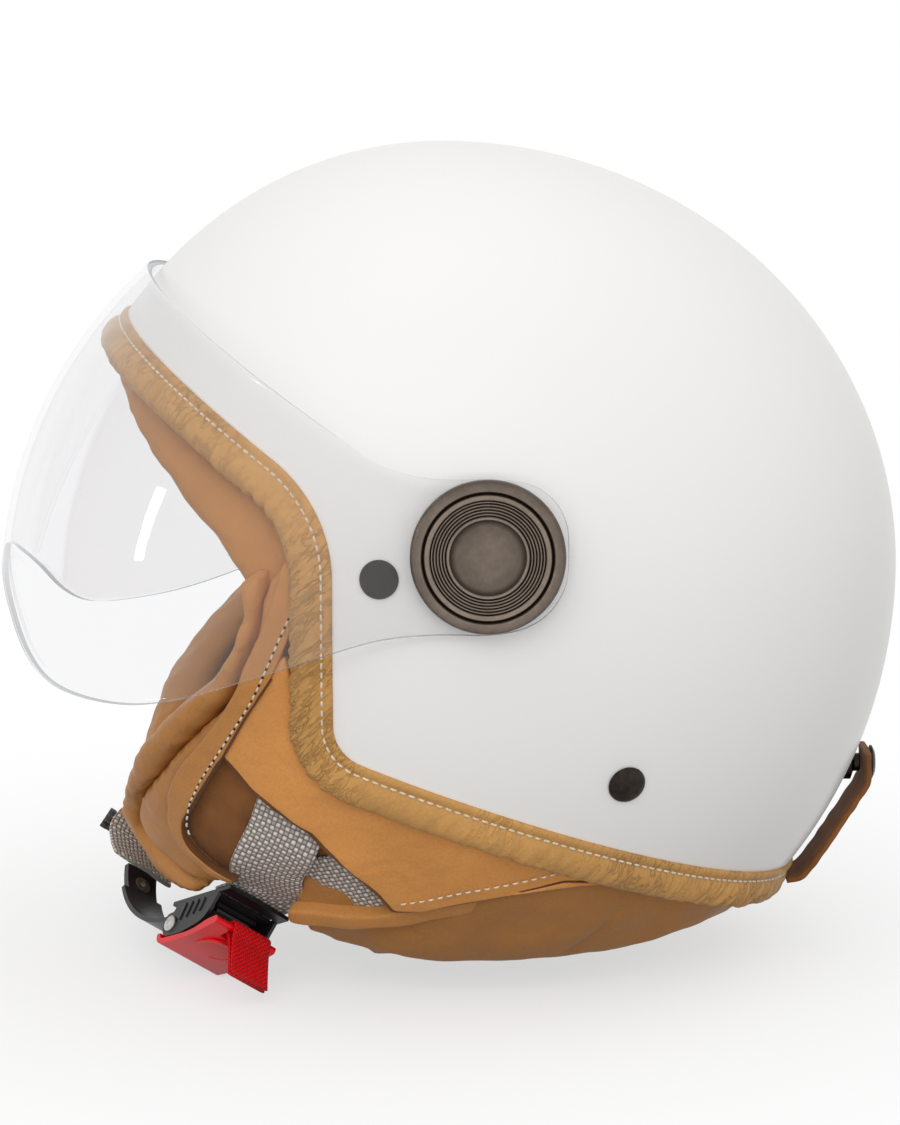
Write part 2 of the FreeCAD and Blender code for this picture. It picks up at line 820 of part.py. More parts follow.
def ringed_knob(name):
    """Thumb screw: a round cap with a raised rim and turned rings, and a screw behind it."""
    top = "Sizes.knob_thick"
    rings = []
    for k in range(4):
        crest = "Sizes.knob_radius - %.2f" % (4.6 + 1.5 * k)
        rings += [
            (crest + " + 0.45", top + " - 1.1"),
            (crest, top + " - 0.5"),
            (crest + " - 0.45", top + " - 1.1"),
        ]
    return turned(
        name,
        [
            (0, "-Sizes.nut_length - 12"),
            ("Sizes.pivot_screw", "-Sizes.nut_length - 12", 0.6),
            ("Sizes.pivot_screw", 0),
            ("Sizes.knob_radius - 0.5", 0),
            ("Sizes.knob_radius", 0.6),
            ("Sizes.knob_radius", top + " - 1.2", 0.8),
            ("Sizes.knob_radius - 1.0", top),
            ("Sizes.knob_radius - 2.6", top),
            ("Sizes.knob_radius - 3.4", top + " - 1.1"),
        ]
        + rings
        + [
            ("Sizes.knob_radius - 11.0", top + " - 1.1"),
            ("Sizes.knob_radius - 11.6", top),
            ("Sizes.knob_radius - 12.6", top),
            ("Sizes.knob_radius - 13.2", top + " - 1.4"),
            (0, top + " - 0.4"),
        ],
    )


for side_name, side in SIDES:
    base = turned(
        side_name + "_pivot_blank",
        [
            ("Sizes.pivot_screw + 0.3", -12),
            ("Sizes.pivot_flange", -12),
            ("Sizes.pivot_flange", "-Sizes.visor_wall - Sizes.fit_gap"),
            ("Sizes.pivot_boss", "-Sizes.visor_wall - Sizes.fit_gap"),
            ("Sizes.pivot_boss", "Sizes.fit_gap"),
            ("Sizes.pivot_screw + 0.3", "Sizes.fit_gap"),
        ],
    )
    at_pivot(base, side, "Sizes.visor_half_width")
    keep(
        cut(side_name + "_pivot_body", base, form("-0.1")), side_name + "_pivot_base"
    )
    knob = ringed_knob(side_name + "_knob_body")
    at_pivot(knob, side, "Sizes.visor_half_width + 3 * Sizes.fit_gap")
    keep(knob, side_name + "_pivot_knob")
    nut = turned(
        side_name + "_nut_body",
        [
            ("Sizes.pivot_screw + Sizes.running_gap", "-Sizes.nut_length"),
            ("Sizes.pivot_hole - 0.8", "-Sizes.nut_length"),
            ("Sizes.pivot_hole - 0.8", "-Sizes.nut_flange_thick"),
            ("Sizes.nut_flange", "-Sizes.nut_flange_thick"),
            ("Sizes.nut_flange", 0),
            ("Sizes.pivot_hole - 0.3", 0),
            ("Sizes.pivot_hole - 0.3", "Sizes.shell_wall"),
            ("Sizes.pivot_screw + Sizes.running_gap", "Sizes.shell_wall"),
        ],
    )
    inner_reach = on_form(size("pivot_y"), size("pivot_z") + size("nut_flange"), size("shell_wall"))
    at_pivot(nut, side, "%.3f - Sizes.fit_gap" % inner_reach.x)
    keep(nut, side_name + "_insert_nut")

# ---------------------------------------------------------------- strap rivets and washers

WASHER_TOP = "-Sizes.web_depth - Sizes.web_thick / 2 - 2 * Sizes.fit_gap"
RIVET_IN = WASHER_TOP + " - Sizes.washer_thick - 0.1"
rivet_bodies, washer_bodies = [], []
for place_y, place_z in RIVET_PLACES:
    point = on_form(size(place_y), size(place_z))
    normal = form_normal(point)
    rivet = turned(
        place_y + "_rivet",
        [
            (0, RIVET_IN + " - 0.8"),
            ("Sizes.rivet_shank + 1.4", RIVET_IN + " - 0.8"),
            ("Sizes.rivet_shank + 1.4", RIVET_IN),
            ("Sizes.rivet_shank", RIVET_IN),
            ("Sizes.rivet_shank", "Sizes.fit_gap"),
            ("Sizes.rivet_cap", "Sizes.fit_gap"),
            ("Sizes.rivet_cap", "Sizes.fit_gap + 0.5", 0.3),
            ("Sizes.rivet_cap - 1.6", "Sizes.rivet_cap_rise", 3),
            (0, "Sizes.rivet_cap_rise + 0.3"),
        ],
    )
    rivet.Placement = FreeCAD.Placement(point, pointing(normal))
    washer = turned(
        place_y + "_washer",
        [
            ("Sizes.rivet_shank + 0.1", WASHER_TOP + " - Sizes.washer_thick"),
            ("Sizes.washer_radius", WASHER_TOP + " - Sizes.washer_thick"),
            ("Sizes.washer_radius", WASHER_TOP),
            ("Sizes.rivet_shank + 0.1", WASHER_TOP),
        ],
    )
    washer.Placement = FreeCAD.Placement(point, pointing(normal))
    rivet_bodies += [rivet, mirrored(place_y + "_rivet_right", rivet)]
    washer_bodies += [washer, mirrored(place_y + "_washer_right", washer)]
keep(group("rivet_group", *rivet_bodies), "strap_rivets")
keep(group("washer_group", *washer_bodies), "strap_washers")

# ---------------------------------------------------------------- buckle

BUCKLE = FreeCAD.Placement(
    Vector(size("buckle_x"), size("buckle_y"), size("buckle_z")),
    FreeCAD.Rotation(size("buckle_yaw"), size("buckle_pitch"), size("buckle_roll")),
)


def at_buckle(item, along=0.0, across=0.0, inward=0.0, turn=None):
    """Place an item in the buckle's frame: X to the webbing, Y across, Z to the chin."""
    local = FreeCAD.Placement(Vector(along, across, inward), turn or FreeCAD.Rotation())
    item.Placement = BUCKLE.multiply(local)
    return item


BASE_OUT = "Sizes.buckle_base_z + Sizes.buckle_sheet"
housing = padded_plate(
    "housing",
    "XZ_Plane",
    [
        (-2, "Sizes.buckle_base_z"),
        ("Sizes.plate_length", "Sizes.buckle_base_z"),
        ("Sizes.plate_length", BASE_OUT),
        (-2, BASE_OUT),
    ],
    "Sizes.buckle_width",
)
ears = add_pad(
    housing,
    "XZ_Plane",
    [
        ("-Sizes.buckle_ear", "-Sizes.buckle_ear", "Sizes.buckle_ear - 0.2"),
        (7, "-Sizes.buckle_ear - 0.2", 14),
        ("Sizes.buckle_length - 6", -2, 9),
        ("Sizes.buckle_length - 0.5", BASE_OUT),
        (1.2, BASE_OUT, 1),
        (0, "Sizes.buckle_ear + 0.2", 1.4),
        ("-Sizes.buckle_ear", "Sizes.buckle_ear - 0.2", 2.6),
    ],
    "Sizes.buckle_width",
    "ear_block",
)
at_buckle(housing)
channel = doc.addObject("Part::Box", "housing_channel")
bind(
    channel,
    Length="Sizes.buckle_length + 20",
    Width="Sizes.buckle_width - 2 * Sizes.buckle_sheet",
    Height="Sizes.buckle_base_z + 20",
)
at_buckle(channel, -12.0, -(size("buckle_width") / 2 - size("buckle_sheet")), -20.0)
web_gate = doc.addObject("Part::Box", "web_gate")
web_gate.Length = 3.2
bind(web_gate, Width="Sizes.web_width - 1.4", Height=20)
at_buckle(web_gate, size("buckle_length") - 3.6, -(size("web_width") - 1.4) / 2, 0.0)
pin_turn = FreeCAD.Rotation(Vector(1, 0, 0), -90)
pin_bore = cylinder("pin_bore", "Sizes.pin_radius + 0.05", "Sizes.buckle_width + 10", FreeCAD.Placement())
at_buckle(pin_bore, 0, -size("buckle_width") / 2 - 5, 0, pin_turn)
keep(cut("housing_body", housing, channel, web_gate, pin_bore), "buckle_housing")

pin = turned(
    "pin_body",
    [
        (0, "-Sizes.buckle_width / 2 - Sizes.pin_head_thick"),
        ("Sizes.pin_head", "-Sizes.buckle_width / 2 - Sizes.pin_head_thick", 0.5),
        ("Sizes.pin_head", "-Sizes.buckle_width / 2 - 0.05"),
        ("Sizes.pin_radius", "-Sizes.buckle_width / 2 - 0.05"),
        ("Sizes.pin_radius", "Sizes.buckle_width / 2 + 0.05"),
        ("Sizes.pin_head", "Sizes.buckle_width / 2 + 0.05"),
        ("Sizes.pin_head", "Sizes.buckle_width / 2 + Sizes.pin_head_thick", 0.5),
        (0, "Sizes.buckle_width / 2 + Sizes.pin_head_thick"),
    ],
)
at_buckle(pin, turn=pin_turn)
keep(pin, "buckle_pin")

# lever: a cover plate over the ears, a hub on the pin, cheeks between the ears and a pawl
PLATE_IN = "-Sizes.buckle_ear - 0.4"
PLATE_OUT = PLATE_IN + " - Sizes.lever_plate"
HUB_WIDTH = "Sizes.buckle_width - 2 * Sizes.buckle_sheet - 2 * Sizes.lever_side_gap"
BAR_END = "Sizes.lever_bar_x + Sizes.lever_bar"
lever = padded_plate(
    "lever",
    "XZ_Plane",
    [
        (PLATE_OUT, -2.6),
        (PLATE_OUT, PLATE_OUT, 3.6),
        ("Sizes.lever_bar_x / 2", PLATE_OUT + " - 0.6", 60),
        (BAR_END, "-Sizes.lever_bar_z - Sizes.lever_bar", "Sizes.lever_bar - 0.05"),
        (BAR_END, "-Sizes.lever_bar_z + Sizes.lever_bar", "Sizes.lever_bar - 0.05"),
        ("Sizes.lever_bar_x - 5", "-Sizes.lever_bar_z + Sizes.lever_bar - 0.8", 10),
        ("Sizes.lever_bar_x / 2", PLATE_IN + " - 0.3", 30),
        (PLATE_IN, PLATE_IN, 1.9),
        (PLATE_IN, -2.6),
    ],
    "Sizes.buckle_width",
)
add_pad(
    lever,
    "XZ_Plane",
    [
        ("-Sizes.lever_hub", PLATE_IN + " - 0.9"),
        ("-Sizes.lever_hub", "Sizes.lever_hub", "Sizes.lever_hub - 0.1"),
        ("Sizes.lever_hub + 0.6", "Sizes.lever_hub", 1.0),
        ("Sizes.lever_hub + 4", 1.4),
        ("Sizes.lever_bar_x * 0.6", "-Sizes.buckle_ear + 1.4", 3),
        ("Sizes.lever_bar_x * 0.6", PLATE_IN + " - 0.9"),
    ],
    HUB_WIDTH,
    "lever_core",
)
STRIP_OUT = "Sizes.buckle_base_z - Sizes.fit_gap - Sizes.strip_thick"
TOOTH_TIP = STRIP_OUT + " - Sizes.tooth_height"
for k in range(3):
    add_pad(
        lever,
        "XZ_Plane",
        [
            ("Sizes.lever_hub - 1.6 + %d * 1.8" % k, 0.2),
            ("Sizes.lever_hub + 1.6 + %d * 1.8" % k, 0.2),
            ("Sizes.lever_hub + 0.2 + %d * 1.8" % k, TOOTH_TIP + " - Sizes.pawl_gap"),
        ],
        "Sizes.strip_width - 3",
        "pawl_tooth_%d" % k,
    )
at_buckle(lever)
lever_bore = cylinder(
    "lever_bore", "Sizes.pin_radius + Sizes.running_gap", "Sizes.buckle_width + 10", FreeCAD.Placement()
)
at_buckle(lever_bore, 0, -size("buckle_width") / 2 - 5, 0, pin_turn)
spring_cut = doc.addObject("Part::Box", "spring_cut")
bind(spring_cut, Length=17.5, Width=5, Height="Sizes.lever_hub + 8")
at_buckle(spring_cut, -8.0, -2.5, -size("lever_hub") + 0.4)
slot_block = doc.addObject("Part::Box", "tab_slot_block")
bind(
    slot_block,
    Length="Sizes.tab_slot + 3 * Sizes.lever_bar",
    Width="Sizes.tab_width + 2 * Sizes.fit_gap",
    Height=10,
)
at_buckle(
    slot_block,
    size("lever_bar_x") - size("lever_bar") - size("tab_slot"),
    size("tab_side") - size("tab_width") / 2 - size("fit_gap"),
    -10.0,
)
slot_bar = cylinder(
    "tab_slot_bar", "Sizes.lever_bar", "Sizes.buckle_width + 10", FreeCAD.Placement()
)
at_buckle(
    slot_bar,
    size("lever_bar_x"),
    -size("buckle_width") / 2 - 5,
    -size("lever_bar_z"),
    pin_turn,
)
tab_slot = cut("tab_slot", slot_block, slot_bar)
keep(cut("lever_body", lever, lever_bore, spring_cut, tab_slot), "buckle_lever")

# torsion spring: coils side by side round the pin, with a leg to the housing's sheet
coil_radius = size("pin_radius") + size("running_gap") + size("spring_wire") + 0.15
coils = []
coil_count = int(size("spring_coils"))
for k in range(coil_count):
    coil = doc.addObject("Part::Torus", "spring_coil_%d" % k)
    bind(coil, Radius1="%.3f" % coil_radius, Radius2="Sizes.spring_wire")
    offset = (k - (coil_count - 1) / 2) * size("spring_wire") * 1.9
    at_buckle(coil, 0, offset, 0, pin_turn)
    coils.append(coil)
leg = cylinder("spring_leg", "Sizes.spring_wire", 4.2, FreeCAD.Placement())
at_buckle(leg, coil_radius, 0.0, -0.6, FreeCAD.Rotation(Vector(0, 1, 0), -8))
coils.append(leg)
keep(fuse("spring_body", *coils), "lever_spring")

# ---------------------------------------------------------------- pull tab

BAR = FreeCAD.Placement(
    Vector(size("lever_bar_x"), size("tab_side"), -size("lever_bar_z")),
    FreeCAD.Rotation(Vector(0, 1, 0), size("tab_lean")),
)
HALF_TAB = "Sizes.tab_thick / 2"
tail = padded_plate(
    "tab_tail",
    "XZ_Plane",
    [
        ("Sizes.lever_bar + 0.6", "-" + HALF_TAB),
        ("Sizes.tab_length", "-" + HALF_TAB, HALF_TAB + " - 0.2"),
        ("Sizes.tab_length", HALF_TAB, HALF_TAB + " - 0.2"),
        ("Sizes.lever_bar + 0.6", HALF_TAB),
    ],
    "Sizes.tab_width",
)
tail.Placement = BUCKLE.multiply(BAR)
bar_turn = FreeCAD.Placement(Vector(0, -size("tab_width") / 2 - 1, 0), pin_turn)
loop_turn = FreeCAD.Placement(Vector(0, -size("tab_width") / 2, 0), pin_turn)
loop = cylinder(
    "tab_loop",
    "Sizes.lever_bar + 0.15 + " + HALF_TAB,
    "Sizes.tab_width",
    BUCKLE.multiply(BAR).multiply(loop_turn),
)
loop_bore = cylinder(
    "tab_loop_bore",
    "Sizes.lever_bar + 0.15",
    "Sizes.tab_width + 2",
    BUCKLE.multiply(BAR).multiply(bar_turn),
)
keep(cut("tab_body", fuse("tab_blank", tail, loop), loop_bore), "pull_tab")

# ---------------------------------------------------------------- toothed strip


def strip_point(angle, depth):
    """Place on the strip's bend in the buckle's X, Z: angle from its straight end."""
    centre_z = size("buckle_base_z") - size("fit_gap") + size("strip_bend")
    radius = size("strip_bend") + depth
    turn = math.radians(angle)
    return Vector(
        -size("strip_straight") - radius * math.sin(turn), 0, centre_z - radius * math.cos(turn)
    )


def strip_blank(start_x, first, last, thick, width):
    """Straight run from start_x, then the bend from angle first to last, as one solid."""
    arcs = [
        Part.Arc(*[strip_point(a, depth) for a in (first, (first + last) / 2, last)]).toShape()
        for depth in (0.0, thick)
    ]
    inner, outer = arcs
    edges = [inner, outer]
    edges.append(Part.LineSegment(strip_point(last, 0), strip_point(last, thick)).toShape())
    if start_x is None:
        edges.append(Part.LineSegment(strip_point(first, 0), strip_point(first, thick)).toShape())
    else:
        nose_in = Vector(start_x, 0, strip_point(first, 0).z)
        nose_out = Vector(start_x, 0, strip_point(first, thick).z)
        edges.append(Part.LineSegment(strip_point(first, 0), nose_in).toShape())
        edges.append(Part.LineSegment(strip_point(first, thick), nose_out).toShape())
        edges.append(Part.LineSegment(nose_in, nose_out).toShape())
    face = Part.Face(Part.Wire(Part.__sortEdges__(edges)))
    solid = face.extrude(Vector(0, width, 0))
    solid.translate(Vector(0, -width / 2, 0))
    return solid


strip_shape = strip_blank(
    size("buckle_length") - 7.0, 0.0, size("strip_bend_angle"), size("strip_thick"), size("strip_width")
)
lug_end = size("strip_bend_angle") + size("lug_angle")
strip_shape = strip_shape.fuse(
    strip_blank(None, size("strip_bend_angle") - 3, lug_end, size("strip_thick") + 0.6, size("lug_width"))
)
teeth = []
tooth_out = strip_point(0, size("strip_thick")).z
for k in range(int(size("tooth_count"))):
    nose = size("buckle_length") - 8.5 - k * size("tooth_pitch")
    corners = [
        Vector(nose, 0, tooth_out + 0.3),
        Vector(nose - size("tooth_pitch") * 0.95, 0, tooth_out + 0.3),
        Vector(nose - size("tooth_pitch") * 0.2, 0, tooth_out - size("tooth_height")),
    ]
    wedge = Part.Face(Part.makePolygon(corners + corners[:1])).extrude(
        Vector(0, size("strip_width") - 3, 0)
    )
    wedge.translate(Vector(0, -(size("strip_width") - 3) / 2, 0))
    teeth.append(wedge)
strip_shape = strip_shape.multiFuse(teeth)
EYELET_ANGLE = size("strip_bend_angle") + size("lug_angle") * 0.4
eyelet_spot = strip_point(EYELET_ANGLE, 0)
eyelet_turn = FreeCAD.Rotation(
    Vector(0, 0, 1), strip_point(EYELET_ANGLE, 1) - strip_point(EYELET_ANGLE, 0)
)
bore = Part.makeCylinder(size("eyelet_barrel") + 0.05, 20)
bore.Placement = FreeCAD.Placement(
    eyelet_spot - eyelet_turn.multVec(Vector(0, 0, 10)), eyelet_turn
)
strip_item = doc.addObject("Part::Feature", "toothed_strip_body")
strip_item.Shape = strip_shape.cut(bore).removeSplitter()
at_buckle(strip_item)
keep(strip_item, "toothed_strip")

LUG_THICK = "(Sizes.strip_thick + 0.6)"
eyelet = turned(
    "eyelet_body",
    [
        ("Sizes.eyelet_bore", "-0.2 - Sizes.eyelet_flange_thick"),
        ("Sizes.eyelet_flange", "-0.2 - Sizes.eyelet_flange_thick"),
        ("Sizes.eyelet_flange", -0.2),
        ("Sizes.eyelet_barrel", -0.2),
        ("Sizes.eyelet_barrel", LUG_THICK + " + 0.2"),
        ("Sizes.eyelet_flange", LUG_THICK + " + 0.2"),
        ("Sizes.eyelet_flange", LUG_THICK + " + 0.2 + Sizes.eyelet_flange_thick"),
        ("Sizes.eyelet_bore", LUG_THICK + " + 0.2 + Sizes.eyelet_flange_thick"),
    ],
)
at_buckle(eyelet, eyelet_spot.x, 0, eyelet_spot.z, eyelet_turn)
keep(eyelet, "strip_eyelet")

# ---------------------------------------------------------------- chin strap webbing

ACROSS_BUCKLE = BUCKLE.Rotation.multVec(Vector(0, 1, 0))


def hidden(y, z, across=None):
    """A station of the webbing between the shell and the liner."""
    return on_form(y, z, size("web_depth")), across


def band(name, stations, width, thick):
    """Flat band through stations (place, direction across it or None to lie on the form)."""
    places = [place for place, across in stations]
    wires = []
    last_side = None
    for i, (place, across) in enumerate(stations):
        along = places[min(i + 1, len(places) - 1)] - places[max(i - 1, 0)]
        along.normalize()
        if across is None:
            across = along.cross(form_normal(place))
        side_dir = across - along * across.dot(along)
        side_dir.normalize()
        if wires and side_dir.dot(last_side) < 0:
            side_dir = side_dir * -1
        last_side = side_dir
        normal = along.cross(side_dir)
        corners = [
            place + side_dir * (a * width / 2) + normal * (b * thick / 2)
            for a, b in ((-1, -1), (1, -1), (1, 1), (-1, 1))
        ]
        wires.append(Part.makePolygon(corners + corners[:1]))
    item = doc.addObject("Part::Feature", name)
    item.Shape = Part.makeLoft(wires, True, True)
    return item


def drilled(name, source, *places):
    """Webbing with a hole for each rivet that holds it."""
    bars = []
    for i, (place_y, place_z) in enumerate(places):
        point = on_form(size(place_y), size(place_z))
        normal = form_normal(point)
        bars.append(
            cylinder(
                "%s_hole_%d" % (name, i),
                "Sizes.rivet_shank + 0.1",
                40,
                FreeCAD.Placement(point - normal * 20, pointing(normal)),
            )
        )
    return cut(name, source, *bars)


WIDTH, THICK = size("web_width"), size("web_thick")
WEB_Z = size("buckle_base_z") + size("buckle_sheet") + size("fit_gap") + THICK / 2
plate_end = BUCKLE.multVec(Vector(size("plate_length") + 3, 0, WEB_Z + 1.4))
bar_end = BUCKLE.multVec(Vector(size("buckle_length") - 5, 0, WEB_Z))
FRONT_HIDDEN = [
    hidden(-16.0, 27.0),
    hidden(size("rivet_front_y"), size("rivet_front_z")),
    hidden(-31.0, -18.0),
    hidden(-42.0, -48.0),
    hidden(-48.0, -64.0),
]
BACK_HIDDEN = [
    hidden(71.0, -48.0),
    hidden(size("rivet_back_y"), size("rivet_back_z")),
    hidden(34.0, -66.0),
    hidden(8.0, -77.0),
    hidden(-18.0, -88.0),
]
left_front = band(
    "left_front_web",
    FRONT_HIDDEN
    + [
        (on_form(-52.5, -77.0, 5.5), None),
        (Vector(80.0, -57.5, -88.0), Vector(-0.15, 0.9, -0.4)),
        (Vector(73.0, -62.0, -96.5), Vector(-0.3, 0.82, -0.5)),
        (plate_end, ACROSS_BUCKLE),
        (bar_end, ACROSS_BUCKLE),
    ],
    WIDTH,
    THICK,
)
keep(drilled("left_front_strap_body", left_front, RIVET_PLACES[0]), "left_front_strap")
back_web = band(
    "left_back_web", BACK_HIDDEN + [(on_form(-38.5, -95.7, 10.8), None)],
    WIDTH, THICK,
)
left_back = drilled("left_back_strap_body", back_web, RIVET_PLACES[1])
keep(left_back, "left_back_strap")
keep(mirrored("right_back_strap_body", left_back), "right_back_strap")

strap_start = BUCKLE.multVec(strip_point(lug_end + 1.5, size("strip_thick") / 2))
right_stations = [
    (strap_start, ACROSS_BUCKLE),
    (Vector(-20.0, -112.5, -107.5), Vector(-0.3, 0.8, -0.5)),
    (Vector(-33.0, -113.0, -104.0), Vector(-0.1, 0.85, -0.5)),
    (Vector(-52.0, -105.0, -100.0), Vector(0.1, 0.87, -0.5)),
    (Vector(-72.0, -88.0, -94.0), Vector(0.25, 0.87, -0.45)),
    (Vector(-86.0, -68.0, -85.0), Vector(0.3, 0.87, -0.4)),
    (Vector(-89.5, -54.0, -76.0), Vector(0.25, 0.9, -0.35)),
]
right_hidden = [
    (Vector(-place.x, place.y, place.z), across) for place, across in reversed(FRONT_HIDDEN)
]
right_front = band("right_front_web", right_stations + right_hidden, WIDTH, THICK)
point = on_form(size("rivet_front_y"), size("rivet_front_z"))
normal = form_normal(point)
right_hole = cylinder(
    "right_front_hole",
    "Sizes.rivet_shank + 0.1",
    40,
    FreeCAD.Placement(
        Vector(-point.x, point.y, point.z) - Vector(-normal.x, normal.y, normal.z) * 20,
        pointing(Vector(-normal.x, normal.y, normal.z)),
    ),
)
keep(cut("right_front_strap_body", right_front, right_hole), "right_front_strap")

# ---------------------------------------------------------------- strap slider

slider_place = right_stations[2][0]
slider_along = (right_stations[3][0] - right_stations[1][0]).normalize()
slider_side = right_stations[2][1] - slider_along * right_stations[2][1].dot(slider_along)
slider_side.normalize()
slider_out = slider_along.cross(slider_side)
if slider_out.z > 0:
    slider_out = slider_out * -1
slider_blank = padded_plate(
    "slider_blank",
    "XZ_Plane",
    [
        ("-Sizes.slider_length / 2", 0, 0.5),
        ("-Sizes.slider_length / 2", "Sizes.slider_thick", 1.0),
        ("Sizes.slider_length / 2", "Sizes.slider_thick", 1.0),
        ("Sizes.slider_length / 2", 0, 0.5),
    ],
    "Sizes.slider_width",
)
slider_turn = FreeCAD.Rotation(slider_along, slider_out.cross(slider_along), slider_out, "ZXY")
slider_base = slider_place + slider_out * (THICK / 2 + size("fit_gap") + 0.4)
slider_blank.Placement = FreeCAD.Placement(slider_base, slider_turn)
windows = []
for sign in (-1, 1):
    window = doc.addObject("Part::Box", "slider_window_%s" % ("a" if sign < 0 else "b"))
    length = (size("slider_length") - 3 * size("slider_bar")) / 2
    window.Length = length
    bind(window, Width="Sizes.web_width + 0.6", Height=20)
    start = sign * (size("slider_bar") / 2 + length / 2) - length / 2
    window.Placement = FreeCAD.Placement(slider_base, slider_turn).multiply(
        FreeCAD.Placement(
            Vector(start, -(size("web_width") + 0.6) / 2, -5), FreeCAD.Rotation()
        )
    )
    windows.append(window)
keep(cut("slider_body", slider_blank, *windows), "strap_slider")

# ---------------------------------------------------------------- goggle strap at the back

goggle_outline = side_outline(
    "goggle_outline",
    [
        ("Sizes.goggle_root_y - 3", "Sizes.goggle_root_z + 1.2"),
        ("Sizes.goggle_root_y - 1.6", "Sizes.goggle_root_z - 1.2"),
        ("Sizes.goggle_root_y + 6", "Sizes.goggle_root_z + 3", 8),
        ("Sizes.goggle_bend_y + 0.8", "Sizes.goggle_bend_z - 1.5", 12),
        ("Sizes.goggle_bend_y + 0.4", "Sizes.goggle_end_z", 1),
        ("Sizes.goggle_bend_y + 0.4 - Sizes.goggle_thick", "Sizes.goggle_end_z", 1),
        ("Sizes.goggle_bend_y + 0.8 - Sizes.goggle_thick", "Sizes.goggle_bend_z - 0.8", 9),
        ("Sizes.goggle_root_y + 3.8", "Sizes.goggle_root_z + 4.8", 6),
    ],
)
HALF_GOGGLE = "Sizes.goggle_width / 2"
keep(
    side_prism("goggle_body", goggle_outline, "-" + HALF_GOGGLE, HALF_GOGGLE),
    "goggle_strap",
)
BACKWARD = FreeCAD.Rotation(Vector(1, 0, 0), -90)
snap = turned(
    "snap_body",
    [
        (0, 0),
        ("Sizes.snap_radius", 0),
        ("Sizes.snap_radius", 0.6, 0.3),
        ("Sizes.snap_radius - 2", "Sizes.snap_thick", 2),
        (0, "Sizes.snap_thick"),
    ],
)
snap.Placement.Rotation = BACKWARD
snap.setExpression("Placement.Base.y", "Sizes.goggle_bend_y + 0.4 + Sizes.fit_gap + 0.4")
snap.setExpression("Placement.Base.z", "Sizes.goggle_snap_z")
keep(snap, "goggle_snap")
stud_blank = turned(
    "stud_blank",
    [
        (0, -12),
        ("Sizes.snap_radius", -12),
        ("Sizes.snap_radius", -3.4),
        ("Sizes.stud_radius", -2.4, 0.5),
        ("Sizes.stud_radius", 0, 0.5),
        (0, 0),
    ],
)
stud_blank.Placement.Rotation = BACKWARD
stud_blank.setExpression(
    "Placement.Base.y", "Sizes.goggle_bend_y + 0.4 - Sizes.goggle_thick - Sizes.fit_gap"
)
stud_blank.setExpression("Placement.Base.z", "Sizes.goggle_snap_z")
keep(cut("stud_body", stud_blank, form("-0.1")), "goggle_stud")

# ---------------------------------------------------------------- checks and export

doc.recompute()
for item in doc.Objects:
    if "Invalid" in item.State or "Error" in item.State:
        raise RuntimeError("%s failed: %s" % (item.Name, item.State))
os.makedirs("parts", exist_ok=True)
for item in parts:
    shape = item.Shape
    if shape.isNull() or not shape.isValid() or not shape.Solids:
        raise RuntimeError("%s has no valid solid" % item.Label)
for item in parts:
    item.Shape.exportStep(os.path.join("parts", item.Label + ".step"))
    box = item.Shape.BoundBox
    print(
        "%-18s %d solid(s) %9.1f mm3  x %6.1f %6.1f  y %6.1f %6.1f  z %6.1f %6.1f"
        % (
            item.Label, len(item.Shape.Solids), item.Shape.Volume,
            box.XMin, box.XMax, box.YMin, box.YMax, box.ZMin, box.ZMax,
        )
    )
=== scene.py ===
"""Dress the packed open-face helmet: lacquered shell, leather liner, webbing, visor and buckle.

Every surface is worked out in millimetres in the helmet's own frame (+X to the wearer's
left, -Y forwards, +Z up) and written to its mesh in metres.
"""

import bmesh
import bpy
import numpy as np
from bpy.props import FloatProperty, FloatVectorProperty, PointerProperty
from bpy.types import Operator, Panel, PropertyGroup
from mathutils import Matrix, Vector


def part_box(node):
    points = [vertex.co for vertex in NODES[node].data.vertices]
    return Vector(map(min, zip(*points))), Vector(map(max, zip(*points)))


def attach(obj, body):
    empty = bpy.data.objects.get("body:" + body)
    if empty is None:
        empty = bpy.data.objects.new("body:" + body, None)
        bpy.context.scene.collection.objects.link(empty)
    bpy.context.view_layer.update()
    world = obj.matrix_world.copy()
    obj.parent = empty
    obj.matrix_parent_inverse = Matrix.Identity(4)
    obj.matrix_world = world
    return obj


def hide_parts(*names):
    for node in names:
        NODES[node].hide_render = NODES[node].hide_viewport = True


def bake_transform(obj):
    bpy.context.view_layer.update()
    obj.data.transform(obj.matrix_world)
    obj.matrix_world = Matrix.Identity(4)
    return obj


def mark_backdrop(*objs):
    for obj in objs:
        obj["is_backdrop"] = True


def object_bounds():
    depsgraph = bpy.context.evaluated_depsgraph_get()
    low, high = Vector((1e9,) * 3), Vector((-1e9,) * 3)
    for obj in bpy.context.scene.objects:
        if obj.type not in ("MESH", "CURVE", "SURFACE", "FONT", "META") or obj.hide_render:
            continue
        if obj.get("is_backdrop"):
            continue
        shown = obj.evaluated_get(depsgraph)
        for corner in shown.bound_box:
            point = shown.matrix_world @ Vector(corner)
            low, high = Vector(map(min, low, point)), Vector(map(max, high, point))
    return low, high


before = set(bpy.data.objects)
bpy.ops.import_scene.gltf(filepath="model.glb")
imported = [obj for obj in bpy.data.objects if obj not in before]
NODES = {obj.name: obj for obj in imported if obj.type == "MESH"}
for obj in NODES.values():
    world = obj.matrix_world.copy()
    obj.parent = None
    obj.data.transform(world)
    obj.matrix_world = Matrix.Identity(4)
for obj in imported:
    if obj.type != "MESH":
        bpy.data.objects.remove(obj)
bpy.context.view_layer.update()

bl_info = {
    "name": "Open-face helmet dresser",
    "version": (1, 0, 0),
    "blender": (4, 5, 0),
    "location": "3D View > Sidebar > Helmet",
    "description": "Makes the helmet's shell, leather, webbing, visor and buckle finishes",
    "category": "Object",
}

MM = 0.001


